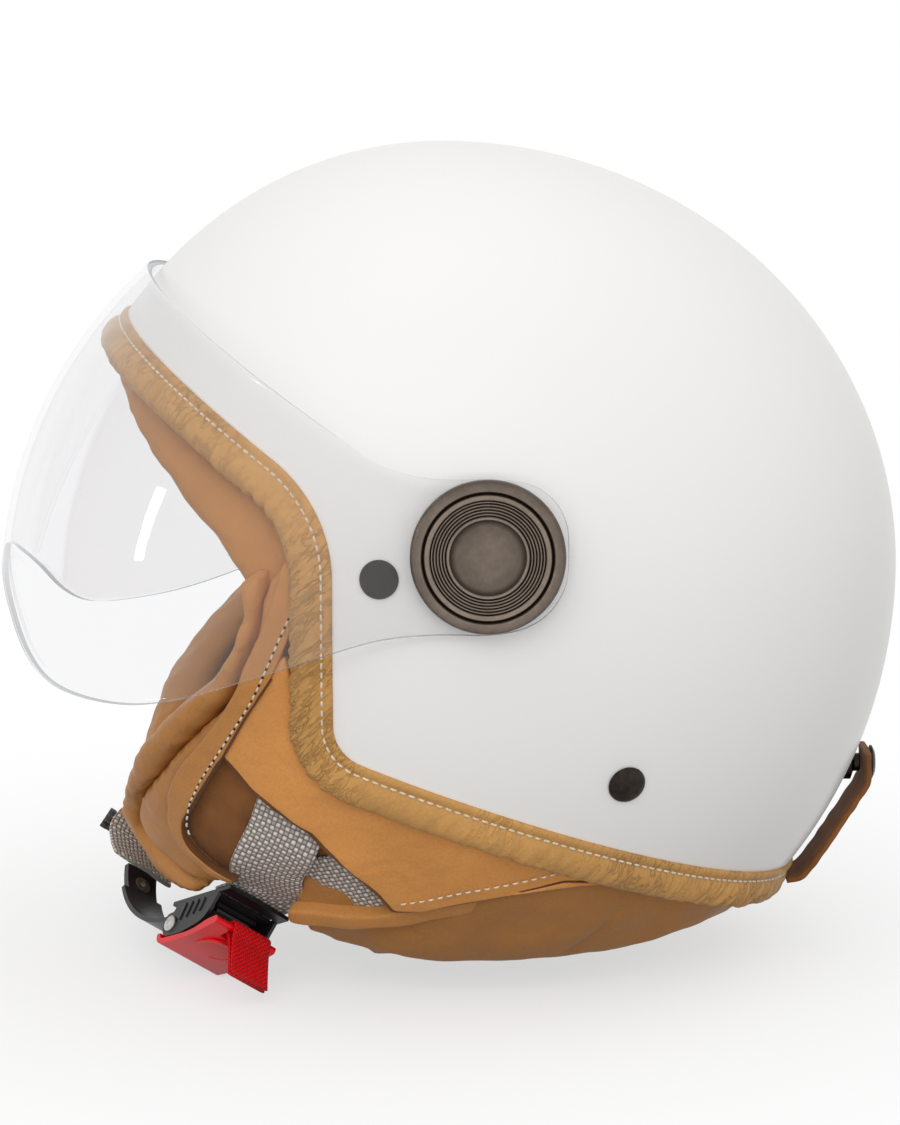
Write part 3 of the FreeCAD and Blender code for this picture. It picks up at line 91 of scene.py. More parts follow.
def rgb(code):
    """Linear colour of an sRGB hex value."""
    part = np.array([int(code[i : i + 2], 16) for i in (1, 3, 5)]) / 255.0
    low = part / 12.92
    high = ((part + 0.055) / 1.055) ** 2.4
    return tuple(float(c) for c in np.where(part <= 0.04045, low, high))


# ---------------------------------------------------------------- sizes and colours


def length(name, words, default):
    """A size in metres, given here in millimetres."""
    return FloatProperty(name=name, description=words, default=default * MM, unit="LENGTH", precision=4)


def colour(name, words, code):
    """A linear colour, given here as an sRGB hex value."""
    return FloatVectorProperty(
        name=name, description=words, default=rgb(code), size=3, min=0, max=1, subtype="COLOR"
    )


SHELL_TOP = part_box("shell")[1]


class FormSizes(PropertyGroup):
    """The ellipsoid form that the shell, liner and straps follow."""

    half_width: length("Half width", "From the middle to the shell's side", SHELL_TOP.x / MM)
    front: length("Front", "From the middle to the form's front", 136.0)
    back: length("Back", "From the middle to the shell's back", SHELL_TOP.y / MM)
    top: length("Top", "From the middle to the shell's crown", SHELL_TOP.z / MM)
    bottom: length("Bottom", "From the middle to the form's lowest point", 165.0)
    wall: length("Wall", "Thickness of the moulded shell", 4.0)


class LeatherSizes(PropertyGroup):
    """The leather edging, liner and seams."""

    edge_stitch: length("Edging stitch", "Length of one stitch of the edging", 2.5)
    edge_pitch: length("Edging pitch", "From one stitch of the edging to the next", 3.15)
    edge_thread: length("Edging thread", "Half thickness of the edging's thread", 0.42)
    seam_stitch: length("Seam stitch", "Length of one stitch of the liner", 2.0)
    seam_pitch: length("Seam pitch", "From one stitch of the liner to the next", 3.1)
    wrinkle: length("Wrinkles", "Height of the edging's wrinkles", 1.0)


class StrapSizes(PropertyGroup):
    """The woven chin strap, the leather goggle loop and the pull tab's tape."""

    width: length("Webbing width", "Width of the chin strap", 25.0)
    thick: length("Webbing thickness", "Thickness of the chin strap", 1.8)
    cell: length("Weave", "Pitch of the webbing's weave", 1.7)
    loop_width: length("Loop width", "Width of the goggle loop", 22.0)
    loop_thick: length("Loop thickness", "Thickness of the goggle loop", 2.6)
    tape_width: length("Tape width", "Width of the pull tab's tape", 16.0)
    tape_thick: length("Tape thickness", "Thickness of one layer of the tape", 1.3)


class FinishColours(PropertyGroup):
    """Colours of the finishes."""

    lacquer: colour("Lacquer", "Shell lacquer", "#F1F0EE")
    edging: colour("Edging leather", "Grained leather round the rim", "#CC9A5A")
    liner: colour("Liner leather", "Smooth leather of the pads", "#C4884A")
    suede: colour("Suede", "Rough side of the leather", "#86552A")
    webbing: colour("Webbing", "Woven chin strap", "#DCD3CA")
    red: colour("Red", "Lever and pull tab", "#E30613")


class StageSetup(PropertyGroup):
    """Camera and light."""

    azimuth: FloatProperty(name="Azimuth", description="Degrees about Z, 0 from the front", default=90.0)
    elevation: FloatProperty(name="Elevation", description="Degrees above level", default=10.0)
    distance: length("Distance", "From the helmet's middle to the camera", 1200.0)
    lens: FloatProperty(name="Lens", description="Focal length in millimetres", default=109.8)
    light: FloatProperty(name="Light", description="Strength of the studio lamps", default=1.0)


def mm(group, *names):
    """Properties of a group in millimetres: one number, or a list where several are named."""
    sizes = [getattr(getattr(bpy.context.scene, group), name) / MM for name in names]
    return sizes if len(sizes) > 1 else sizes[0]


# ---------------------------------------------------------------- the form


def semi_axes(y, z, depth):
    """Half axes of the form at a depth below the shell: each quadrant has its own."""
    across = mm("helmet_form", "half_width") - depth
    along = np.where(y > 0, mm("helmet_form", "back"), mm("helmet_form", "front")) - depth
    height = np.where(z > 0, mm("helmet_form", "top"), mm("helmet_form", "bottom")) - depth
    return across, along, height


def on_form(y, z, depth=0.0):
    """Left side of the form: x is the half width times the root of 1 - (y/b)^2 - (z/c)^2."""
    y, z, depth = np.broadcast_arrays(np.asarray(y, float), np.asarray(z, float), depth)
    a, b, c = semi_axes(y, z, depth)
    rest = 1.0 - (y / b) ** 2 - (z / c) ** 2
    return np.stack([a * np.sqrt(np.clip(rest, 0.0, None)), y, z], axis=-1)


def unit(p, depth=0.0):
    """Places on the form as points of a unit sphere, each axis over its half axis."""
    a, b, c = semi_axes(p[..., 1], p[..., 2], depth)
    w = np.stack([p[..., 0] / a, p[..., 1] / b, p[..., 2] / c], axis=-1)
    return w / np.linalg.norm(w, axis=-1, keepdims=True)


def from_unit(w, depth):
    """Back from the unit sphere to the form at a depth."""
    w = w / np.linalg.norm(w, axis=-1, keepdims=True)
    a, b, c = semi_axes(w[..., 1], w[..., 2], depth)
    return np.stack([w[..., 0] * a, w[..., 1] * b, w[..., 2] * c], axis=-1)


def form_normal(p):
    """Outward direction of the form: the gradient of (x/a)^2 + (y/b)^2 + (z/c)^2."""
    a, b, c = semi_axes(p[..., 1], p[..., 2], 0.0)
    n = np.stack([p[..., 0] / a**2, p[..., 1] / b**2, p[..., 2] / c**2], axis=-1)
    return n / np.linalg.norm(n, axis=-1, keepdims=True)


# ---------------------------------------------------------------- curves and grids


def smooth_path(points, count, closed=False):
    """Catmull-Rom curve through hand-picked points, spaced evenly by length."""
    p = np.asarray(points, float)
    ends = (p[-1:], p[:2]) if closed else (2 * p[:1] - p[1:2], 2 * p[-1:] - p[-2:-1])
    q = np.concatenate([ends[0], p, ends[1]])
    runs = len(q) - 3
    t = np.linspace(0.0, 1.0, 40, endpoint=False)[None, :, None]
    a, b, c, d = (q[i : i + runs, None, :] for i in range(4))
    square = (2 * a - 5 * b + 4 * c - d) * t**2
    cube = (3 * b - a - 3 * c + d) * t**3
    curve = 0.5 * (2 * b + (c - a) * t + square + cube)
    curve = np.concatenate([curve.reshape(-1, p.shape[1]), q[runs + 1][None]])
    return even(curve, count, closed)


def run_along(curve):
    """Distance from a polyline's start to each of its points."""
    return np.concatenate([[0.0], np.cumsum(np.linalg.norm(np.diff(curve, axis=0), axis=1))])


def even(curve, count, closed=False):
    """The same polyline with points at equal distances."""
    run = run_along(curve)
    stops = np.linspace(0.0, run[-1], count + 1 if closed else count)
    if closed:
        stops = stops[:-1]
    return np.stack([np.interp(stops, run, curve[:, k]) for k in range(curve.shape[1])], axis=1)


# Corners of the rim in the side view: y, z and the arc's radius.
RIM_TEMPLE = (-44.0, 33.0, 35.0)
RIM_JAW = (-44.0, -49.0, 23.5)
BROW_TURN = np.radians(35.0)
SILL_TURN = np.radians(21.0)


def crossing(y, z, dy, dz, ahead):
    """Distance along a line at which it meets the form's middle outline (a quadratic)."""
    _, b, c = semi_axes(np.array(-1.0 if ahead else 1.0), np.array(1.0 if ahead else -1.0), 0.0)
    p = (dy / b) ** 2 + (dz / c) ** 2
    q = y * dy / b**2 + z * dz / c**2
    r = (y / b) ** 2 + (z / c) ** 2 - 1.0
    return (-q + np.sqrt(q * q - p * r)) / p


def rim_half(offset, count):
    """Left half of the rim moved by an offset towards the opening, brow middle to nape.

    In the side view it is the brow line, temple arc, upright, jaw arc and sill line; the
    form gives x. Points crowd towards the middle plane, then are spaced evenly.
    """
    upright = RIM_TEMPLE[0] - offset
    temple_z = RIM_TEMPLE[1] + np.tan(BROW_TURN) * offset - offset / np.cos(BROW_TURN)
    jaw_z = RIM_JAW[1] + np.tan(SILL_TURN) * offset - offset / np.cos(SILL_TURN)
    temple_r = RIM_TEMPLE[2] - offset
    jaw_r = RIM_JAW[2] + offset
    temple_cut = temple_r * np.tan((np.pi / 2 - BROW_TURN) / 2)
    jaw_cut = jaw_r * np.tan((np.pi / 2 - SILL_TURN) / 2)
    brow = np.array([-np.cos(BROW_TURN), np.sin(BROW_TURN)])
    sill = np.array([np.cos(SILL_TURN), -np.sin(SILL_TURN)])
    crowd = np.linspace(0.0, 1.0, 160)[:, None] ** 2
    start = np.array([upright, temple_z]) + brow * temple_cut
    reach = crossing(start[0], start[1], brow[0], brow[1], True) * (1 - 1e-9)
    brow_line = start + brow * reach * (1 - crowd)
    turn = np.linspace(np.pi / 2 - BROW_TURN, 0.0, 40)[1:, None]
    temple_arc = np.array([upright - temple_r, temple_z - temple_cut]) + temple_r * np.hstack(
        [np.cos(turn), np.sin(turn)]
    )
    line = np.linspace(0.0, 1.0, 40)[1:, None]
    foot = np.array([upright, jaw_z + jaw_cut])
    upright_line = temple_arc[-1] + (foot - temple_arc[-1]) * line
    turn = np.linspace(0.0, np.pi / 2 - SILL_TURN, 40)[1:, None]
    jaw_arc = np.array([upright + jaw_r, jaw_z + jaw_cut]) - jaw_r * np.hstack(
        [np.cos(turn), np.sin(turn)]
    )
    start = jaw_arc[-1]
    reach = crossing(start[0], start[1], sill[0], sill[1], False) * (1 - 1e-9)
    sill_line = start + sill * reach * (1 - crowd[::-1])[1:]
    side = np.concatenate([brow_line, temple_arc, upright_line, jaw_arc, sill_line])
    return even(on_form(side[:, 0], side[:, 1]), count)


# Offsets of the table's rims, and the steps of share along each.
RIM_OFFSETS = np.arange(-14.0, 33.0, 1.0)
RIM_STEPS = 1000
RIM_TABLE = {}


def rim_place(u, offset, depth):
    """Place by share u of the half rim, offset towards the opening and depth, as arrays.

    It is read between the rows and columns of one table of rims, made at the first call.
    """
    if not RIM_TABLE:
        RIM_TABLE["rims"] = np.stack([unit(rim_half(o, RIM_STEPS + 1)) for o in RIM_OFFSETS])
    w = RIM_TABLE["rims"]
    u, offset, depth = np.broadcast_arrays(np.asarray(u, float), offset, depth)
    row = np.clip((offset - RIM_OFFSETS[0]), 0, len(RIM_OFFSETS) - 1.001)
    col = np.clip(np.abs(u), 0.0, 1.0) * RIM_STEPS * 0.999999
    i, j = row.astype(int), col.astype(int)
    fi, fj = (row - i)[..., None], (col - j)[..., None]
    near = w[i, j] * (1 - fj) + w[i, j + 1] * fj
    far = w[i + 1, j] * (1 - fj) + w[i + 1, j + 1] * fj
    w = near * (1 - fi) + far * fi
    w[..., 0] = np.where(u < 0, -w[..., 0], w[..., 0])
    return from_unit(w, depth)


def folds(p, wave, seed):
    """Soft random relief from -1 to 1: a mean of sine waves in seeded directions."""
    draw = np.random.RandomState(seed)
    way = draw.normal(size=(9, 3))
    way *= (2 * np.pi / wave) * draw.uniform(0.7, 1.4, (9, 1)) / np.linalg.norm(way, axis=1, keepdims=True)
    phase = draw.uniform(0, 2 * np.pi, len(way))
    return np.sin(np.einsum("...k,nk->...n", p, way) + phase).mean(axis=-1) * 2.2


def grid_normals(p, wrap_u, wrap_v):
    """Normals of a grid of points, from the cross product of its two steps."""

    def steps(axis, wrap):
        if wrap:
            return np.roll(p, -1, axis) - np.roll(p, 1, axis)
        return np.gradient(p, axis=axis)

    n = np.cross(steps(0, wrap_u), steps(1, wrap_v))
    return n / np.maximum(np.linalg.norm(n, axis=-1, keepdims=True), 1e-9)


# ---------------------------------------------------------------- meshes


def new_object(name, points, faces, uv=None):
    """Object at the origin from points in millimetres, faces as index rows."""
    mesh = bpy.data.meshes.new(name)
    mesh.from_pydata((np.asarray(points).reshape(-1, 3) * MM).tolist(), [], [list(f) for f in faces])
    if uv is not None:
        layer = mesh.uv_layers.new(name="Surface")
        loops = np.empty(len(mesh.loops), int)
        mesh.loops.foreach_get("vertex_index", loops)
        layer.data.foreach_set("uv", uv.reshape(-1, 2)[loops].astype(np.float32).ravel())
    mesh.polygons.foreach_set("use_smooth", np.ones(len(mesh.polygons), bool))
    piece = bpy.data.objects.new(name, mesh)
    bpy.context.scene.collection.objects.link(piece)
    return piece


def grid_object(name, p, wrap_u=False, wrap_v=False, caps=False):
    """Quads over a grid of points (u, v); caps close the two ends of a tube.

    The UV map holds the distances along u and v in millimetres.
    """
    nu, nv = p.shape[:2]
    i = np.arange(nu if wrap_u else nu - 1)
    j = np.arange(nv if wrap_v else nv - 1)
    i, j = (k.ravel() for k in np.meshgrid(i, j, indexing="ij"))
    i2, j2 = (i + 1) % nu, (j + 1) % nv
    faces = np.stack([i * nv + j, i2 * nv + j, i2 * nv + j2, i * nv + j2], axis=1).tolist()
    if caps:
        faces.append(list(range(nv)))
        faces.append([(nu - 1) * nv + k for k in reversed(range(nv))])
    along = np.linalg.norm(np.diff(p, axis=0), axis=-1).mean(axis=1)
    across = np.linalg.norm(np.diff(p, axis=1), axis=-1).mean(axis=0)
    along = np.concatenate([[0.0], np.cumsum(along)])
    across = np.concatenate([[0.0], np.cumsum(across)])
    uv = np.stack(np.meshgrid(along, across, indexing="ij"), axis=-1)
    piece = new_object(name, p, faces, uv)
    close_and_turn(piece)
    return piece


# Distance in metres within which two points count as one.
MERGE = 1e-6


def close_and_turn(piece):
    """Merge doubles and turn the faces outwards."""
    shape = bmesh.new()
    shape.from_mesh(piece.data)
    bmesh.ops.remove_doubles(shape, verts=shape.verts, dist=MERGE)
    bmesh.ops.recalc_face_normals(shape, faces=shape.faces)
    shape.to_mesh(piece.data)
    shape.free()


def points_of(piece):
    """Vertices of a piece in millimetres."""
    data = np.empty(len(piece.data.vertices) * 3)
    piece.data.vertices.foreach_get("co", data)
    return data.reshape(-1, 3) / MM


def place_points(piece, points):
    """Move a piece's vertices to points in millimetres."""
    piece.data.vertices.foreach_set("co", (points * MM).astype(np.float32).ravel())
    piece.data.update()


def normals_of(piece):
    """Outward direction at each vertex of a piece."""
    data = np.empty(len(piece.data.vertices) * 3, np.float32)
    piece.data.vertices.foreach_get("normal", data)
    return data.reshape(-1, 3)


def settle(piece):
    """Replace a piece's mesh with the one its modifiers give."""
    depsgraph = bpy.context.evaluated_depsgraph_get()
    mesh = bpy.data.meshes.new_from_object(piece.evaluated_get(depsgraph))
    piece.modifiers.clear()
    piece.data = mesh
    mesh.polygons.foreach_set("use_smooth", np.ones(len(mesh.polygons), bool))


def remeshed(piece, voxel):
    """Even quads over a closed piece, with voxels of the given millimetres."""
    change = piece.modifiers.new("even", "REMESH")
    change.mode = "VOXEL"
    change.voxel_size = voxel * MM
    settle(piece)


# Pressure that blows a pad up as cloth, and the frames it acts for.
STUFFING = 4.0
STUFFING_FRAMES = 20


def filled(piece, voxel, cap):
    """Stuff a closed piece: remesh, blow it up as cloth, and cap how far a point moves."""
    remeshed(piece, voxel)
    rest = points_of(piece)
    cloth = piece.modifiers.new("stuffing", "CLOTH")
    cloth.settings.quality = 5
    cloth.settings.mass = 0.3
    cloth.settings.use_pressure = True
    cloth.settings.uniform_pressure_force = STUFFING
    cloth.settings.effector_weights.gravity = 0.0
    cloth.point_cache.frame_start = 1
    cloth.point_cache.frame_end = STUFFING_FRAMES
    scene = bpy.context.scene
    for step in range(1, STUFFING_FRAMES + 1):
        scene.frame_set(step)
    settle(piece)
    scene.frame_set(1)
    moved = points_of(piece) - rest
    far = np.linalg.norm(moved, axis=1, keepdims=True)
    place_points(piece, rest + moved * np.minimum(1.0, cap / np.maximum(far, 1e-6)))


def subdivided(piece):
    """Smooth a piece by splitting each face in four."""
    change = piece.modifiers.new("fine", "SUBSURF")
    change.levels = change.render_levels = 1
    settle(piece)


# Points whose distances are worked out at once.
BLOCK = 4000


def near_path(points, path):
    """Distance of each point from a polyline's densely spaced points, in blocks."""
    least = np.empty(len(points))
    for start in range(0, len(points), BLOCK):
        block = points[start : start + BLOCK]
        gap = np.linalg.norm(block[:, None, :] - path[None, :, :], axis=2)
        least[start : start + BLOCK] = gap.min(axis=1)
    return least


def press_seam(piece, path, depth, width):
    """Sink a sewn channel: each point moves in by depth times a bell of its distance."""
    p = points_of(piece)
    bell = np.exp(-((near_path(p, path) / width) ** 2))
    place_points(piece, p - normals_of(piece) * (depth * bell)[:, None])


# Rings along a stitch's capsule, and sides of each ring.
STITCH_RINGS = 7
STITCH_SIDES = 6


def stitch_row(name, path, lift, stitch, pitch, radius, shift=0.0):
    """A row of stitches: small capsules, bent down at their ends, set along a path on the form.

    Each lies half a pitch, plus the shift in pitches, after the last one's end. A capsule's
    radius follows the root of 1 - s^4, and its sag s^4, over its length s from -1 to 1.
    """
    run, normals = run_along(path), form_normal(path)
    count = max(2, int(run[-1] / pitch))
    middle = (np.arange(count) + 0.5 + shift)[: count - int(shift > 0)] * run[-1] / count
    s = np.linspace(-1.0, 1.0, STITCH_RINGS)
    a = np.linspace(0, 2 * np.pi, STITCH_SIDES, endpoint=False)
    stops = middle[:, None] + s * stitch / 2
    centre = np.stack([np.interp(stops, run, path[:, k]) for k in range(3)], axis=-1)
    up = np.stack([np.interp(stops, run, normals[:, k]) for k in range(3)], axis=-1)
    up /= np.linalg.norm(up, axis=-1, keepdims=True)
    ahead = np.gradient(centre, axis=1)
    ahead /= np.maximum(np.linalg.norm(ahead, axis=-1, keepdims=True), 1e-9)
    side = np.cross(ahead, up)
    round_off = np.sqrt(np.clip(1 - (s / 1.06) ** 4, 0.05, 1))
    centre = centre + up * (lift + radius * 0.4 - 1.1 * radius * s**4)[..., None]
    ring = np.cos(a)[:, None] * side[:, :, None, :] + np.sin(a)[:, None] * up[:, :, None, :]
    p = centre[:, :, None, :] + ring * (radius * round_off)[:, None, None]
    i, j = np.meshgrid(np.arange(STITCH_RINGS - 1), np.arange(STITCH_SIDES), indexing="ij")
    here, there = (i * STITCH_SIDES + j).ravel(), (i * STITCH_SIDES + (j + 1) % STITCH_SIDES).ravel()
    quad = np.stack([here, here + STITCH_SIDES, there + STITCH_SIDES, there], axis=1)
    whole = STITCH_RINGS * STITCH_SIDES
    ends = np.array([range(STITCH_SIDES), range(whole - 1, whole - 1 - STITCH_SIDES, -1)])
    first = np.arange(len(middle))[:, None, None] * whole
    faces = (first + quad).reshape(-1, 4).tolist() + (first + ends).reshape(-1, STITCH_SIDES).tolist()
    piece = new_object(name, p, faces)
    close_and_turn(piece)
    return piece


# ---------------------------------------------------------------- materials


def per_metre(size):
    """Texture scale, on coordinates in metres, for a feature of the given millimetres."""
    return 1.0 / (size * MM)


def shade(tone, factor):
    """A linear colour made darker or lighter by a factor."""
    return tuple(min(1.0, c * factor) for c in tone)


def grey(share):
    """A colour socket's value for a plain share of the light."""
    return (share, share, share, 1.0)


def add(tree, kind, settings=None, values=None, stops=(), **links):
    """Add a node: settings are its properties, values its sockets, stops a ramp's colours.

    Each link names the input that a node's first output, or a given output, feeds. An input
    is named by its words joined with _, or as _3 by its number.
    """
    made = tree.nodes.new(kind)
    for key, value in (settings or {}).items():
        setattr(made, key, value)
    for key, value in (values or {}).items():
        made.inputs[key].default_value = value
    if stops:
        items = made.color_ramp.elements
        while len(items) < len(stops):
            items.new(0.5)
        for item, (place, tone) in zip(items, stops):
            item.position = place
            item.color = (*(rgb(tone) if isinstance(tone, str) else tone), 1.0)
    for key, source in links.items():
        slot = int(key[1:]) if key[1:].isdigit() else key.replace("_", " ")
        output = source if isinstance(source, bpy.types.NodeSocket) else source.outputs[0]
        tree.links.new(output, made.inputs[slot])
    return made


def material(name):
    """An empty node material and its tree."""
    made = bpy.data.materials.new(name)
    made.use_nodes = True
    made.node_tree.nodes.clear()
    return made, made.node_tree


def lacquer():
    """White two-pack lacquer on a moulded shell: a soft, even gloss with a faint orange peel."""
    made, tree = material("lacquered_shell")
    place = add(tree, "ShaderNodeTexCoord").outputs["Object"]
    peel = add(tree, "ShaderNodeTexNoise", values={"Scale": per_metre(3.85), "Detail": 1.0}, Vector=place)
    bump = add(tree, "ShaderNodeBump", values={"Strength": 0.02, "Distance": 0.4 * MM}, Height=peel)
    cloud = add(tree, "ShaderNodeTexNoise", values={"Scale": per_metre(111.0), "Detail": 2.0}, Vector=place)
    base = bpy.context.scene.helmet_colours.lacquer
    tone = add(tree, "ShaderNodeValToRGB", stops=[(0.3, shade(base, 0.985)), (0.7, base)], Fac=cloud)
    shader = add(
        tree, "ShaderNodeBsdfPrincipled",
        values={"Roughness": 0.36, "IOR": 1.5, "Coat Weight": 0.3, "Coat Roughness": 0.22},
        Base_Color=tone, Normal=bump,
    )
    add(tree, "ShaderNodeOutputMaterial", Surface=shader)
    return made


# Angles in radians at which the edging's two sets of pleats lean.
PLEAT_SLANTS = (0.3, -0.45)


def pleats(tree, slant):
    """Short creases across a wrap, on its own UV in millimetres: 0 in a crease, 1 beside it.

    A crease lies where a stretched and turned noise passes its middle value.
    """
    place = add(
        tree, "ShaderNodeMapping", values={"Scale": (1.0, 0.3, 1.0), "Rotation": (0.0, 0.0, slant)},
        Vector=add(tree, "ShaderNodeTexCoord").outputs["UV"],
    )
    field = add(
        tree, "ShaderNodeTexNoise",
        values={"Scale": 0.17, "Detail": 4.0, "Roughness": 0.6, "Distortion": 0.4}, Vector=place,
    )
    away = add(tree, "ShaderNodeMath", {"operation": "SUBTRACT"}, {1: 0.5}, _0=field)
    apart = add(tree, "ShaderNodeMath", {"operation": "ABSOLUTE"}, _0=away)
    return add(
        tree, "ShaderNodeMapRange", {"interpolation_type": "SMOOTHSTEP"}, {"From Max": 0.028}, Value=apart
    )


def pleated(tree, place, tone, bump, depth):
    """Cross two slants of pleats over a leather, in patches: they sink it and darken it."""
    patches = add(tree, "ShaderNodeTexNoise", values={"Scale": per_metre(45.5), "Detail": 1.0}, Vector=place)
    amount = add(
        tree, "ShaderNodeMapRange", values={"From Min": 0.42, "From Max": 0.62, "To Min": 0.12}, Value=patches
    )
    one, other = (pleats(tree, slant) for slant in PLEAT_SLANTS)
    both = add(tree, "ShaderNodeMath", {"operation": "MULTIPLY"}, _0=one, _1=other)
    left = add(tree, "ShaderNodeMath", {"operation": "MULTIPLY"}, _0=both, _1=amount)
    sunk = add(tree, "ShaderNodeMath", {"operation": "SUBTRACT"}, _0=left, _1=amount)
    bump = add(
        tree, "ShaderNodeBump", values={"Strength": 0.7, "Distance": depth * MM}, Height=sunk, Normal=bump
    )
    # Painted shade: the colour is darkened where the pleats sink.
    shadow = add(tree, "ShaderNodeMath", {"operation": "MULTIPLY_ADD"}, {1: 0.22, 2: 1.0}, _0=sunk)
    tone = add(
        tree, "ShaderNodeMix", {"data_type": "RGBA", "blend_type": "MULTIPLY"}, {0: 1.0}, _6=tone, _7=shadow
    )
    return tone.outputs[2], bump


def leather(name, base, grain, relief, crease, rough, pleat=0.0):
    """Dyed hide: cell grain, soft creases and a wandering tone, so that its gloss breaks up.

    The width and relief of the grain and the depth of the pleats are in millimetres.
    """
    made, tree = material(name)
    place = add(tree, "ShaderNodeTexCoord").outputs["Object"]
    cells = add(
        tree, "ShaderNodeTexVoronoi", {"feature": "SMOOTH_F1"}, {"Scale": per_metre(grain)}, Vector=place
    )
    pull = add(
        tree, "ShaderNodeTexNoise",
        values={"Scale": per_metre(6.67), "Detail": 5.0, "Roughness": 0.6, "Distortion": 1.2},
        Vector=place,
    )
    ridge = add(tree, "ShaderNodeMath", {"operation": "PINGPONG"}, {1: 0.5}, _0=pull)
    height = add(tree, "ShaderNodeMath", {"operation": "MULTIPLY_ADD"}, {1: crease * 5}, _0=ridge, _2=cells)
    waves = add(
        tree, "ShaderNodeTexNoise",
        values={"Scale": per_metre(18.2), "Detail": 2.0, "Roughness": 0.45, "Distortion": 0.9},
        Vector=place,
    )
    soft = add(tree, "ShaderNodeBump", values={"Strength": 0.45, "Distance": 3.0 * MM}, Height=waves)
    bump = add(
        tree, "ShaderNodeBump", values={"Strength": 0.4, "Distance": relief * MM}, Height=height, Normal=soft
    )
    wander = add(
        tree, "ShaderNodeTexNoise", values={"Scale": per_metre(71.4), "Detail": 3.0, "Roughness": 0.5},
        Vector=place,
    )
    dyed = add(
        tree, "ShaderNodeValToRGB",
        stops=[(0.3, shade(base, 0.82)), (0.5, base), (0.7, shade(base, 1.12))], Fac=wander,
    )
    pores = add(tree, "ShaderNodeValToRGB", stops=[(0.1, "#FFFFFF"), (0.75, "#D8CCC0")], Fac=cells)
    tone = add(
        tree, "ShaderNodeMix", {"data_type": "RGBA", "blend_type": "MULTIPLY"}, {0: 0.3}, _6=dyed, _7=pores
    ).outputs[2]
    # Pleats add painted shade in their creases.
    if pleat:
        tone, bump = pleated(tree, place, tone, bump, pleat)
    gloss = add(
        tree, "ShaderNodeMapRange",
        values={"From Min": 0.3, "From Max": 0.7, "To Min": rough - 0.08, "To Max": rough + 0.1},
        Value=wander,
    )
    shader = add(
        tree, "ShaderNodeBsdfPrincipled", values={"Specular IOR Level": 0.3},
        Base_Color=tone, Roughness=gloss, Normal=bump,
    )
    add(tree, "ShaderNodeOutputMaterial", Surface=shader)
    return made


def suede(name, base):
    """Brushed reverse of the hide: no gloss, a short nap and dark patches."""
    made, tree = material(name)
    place = add(tree, "ShaderNodeTexCoord").outputs["Object"]
    nap = add(tree, "ShaderNodeTexNoise", values={"Scale": per_metre(0.667), "Detail": 3.0}, Vector=place)
    bump = add(tree, "ShaderNodeBump", values={"Strength": 0.5, "Distance": 0.3 * MM}, Height=nap)
    wander = add(tree, "ShaderNodeTexNoise", values={"Scale": per_metre(16.67), "Detail": 5.0}, Vector=place)
    tone = add(
        tree, "ShaderNodeValToRGB", stops=[(0.3, shade(base, 0.7)), (0.7, shade(base, 1.25))], Fac=wander
    )
    shader = add(
        tree, "ShaderNodeBsdfPrincipled",
        values={"Roughness": 0.9, "Sheen Weight": 0.08, "Sheen Roughness": 0.5},
        Base_Color=tone, Normal=bump,
    )
    add(tree, "ShaderNodeOutputMaterial", Surface=shader)
    return made


def woven(name, base, cell, dark=0.25):
    """Woven webbing, on its own UV in millimetres: plump yarns one over one, dark between them.

    A yarn's height is |sin u sin v| of the cell; the sign tells warp from the darker weft.
    """
    made, tree = material(name)
    place = add(tree, "ShaderNodeTexCoord").outputs["UV"]
    wander = add(tree, "ShaderNodeTexNoise", values={"Scale": 0.35, "Detail": 1.0}, Vector=place)
    shift = add(
        tree, "ShaderNodeVectorMath", {"operation": "SCALE"}, {"Scale": 0.5}, _0=wander.outputs["Color"]
    )
    moved = add(tree, "ShaderNodeVectorMath", {"operation": "ADD"}, _0=place, _1=shift)
    scaled = add(tree, "ShaderNodeVectorMath", {"operation": "SCALE"}, {"Scale": np.pi / cell}, _0=moved)
    axes = add(tree, "ShaderNodeSeparateXYZ", _0=scaled)
    wave_u = add(tree, "ShaderNodeMath", {"operation": "SINE"}, _0=axes.outputs[0])
    wave_v = add(tree, "ShaderNodeMath", {"operation": "SINE"}, _0=axes.outputs[1])
    both = add(tree, "ShaderNodeMath", {"operation": "MULTIPLY"}, _0=wave_u, _1=wave_v)
    height = add(tree, "ShaderNodeMath", {"operation": "ABSOLUTE"}, _0=both)
    yarn = add(tree, "ShaderNodeMath", {"operation": "POWER"}, {1: 0.8}, _0=height)
    bump = add(tree, "ShaderNodeBump", values={"Strength": 0.8, "Distance": cell * 0.3 * MM}, Height=yarn)
    over = add(tree, "ShaderNodeMath", {"operation": "GREATER_THAN"}, {1: 0.0}, _0=both)
    # Painted shade: the gaps between yarns take dark times the colour. Painted highlight: the yarns' tops are
    # a quarter lighter.
    tone = add(
        tree, "ShaderNodeValToRGB",
        stops=[(0.05, shade(base, dark)), (0.35, shade(base, 0.75)), (0.9, shade(base, 1.25))], Fac=yarn,
    )
    weft = add(
        tree, "ShaderNodeMix", {"data_type": "RGBA", "blend_type": "MULTIPLY"},
        {7: (*rgb("#C4C2C1"), 1.0)}, _0=over, _6=tone,
    )
    shader = add(
        tree, "ShaderNodeBsdfPrincipled", values={"Roughness": 0.5, "Specular IOR Level": 0.3},
        Base_Color=weft.outputs[2], Normal=bump,
    )
    add(tree, "ShaderNodeOutputMaterial", Surface=shader)
    return made


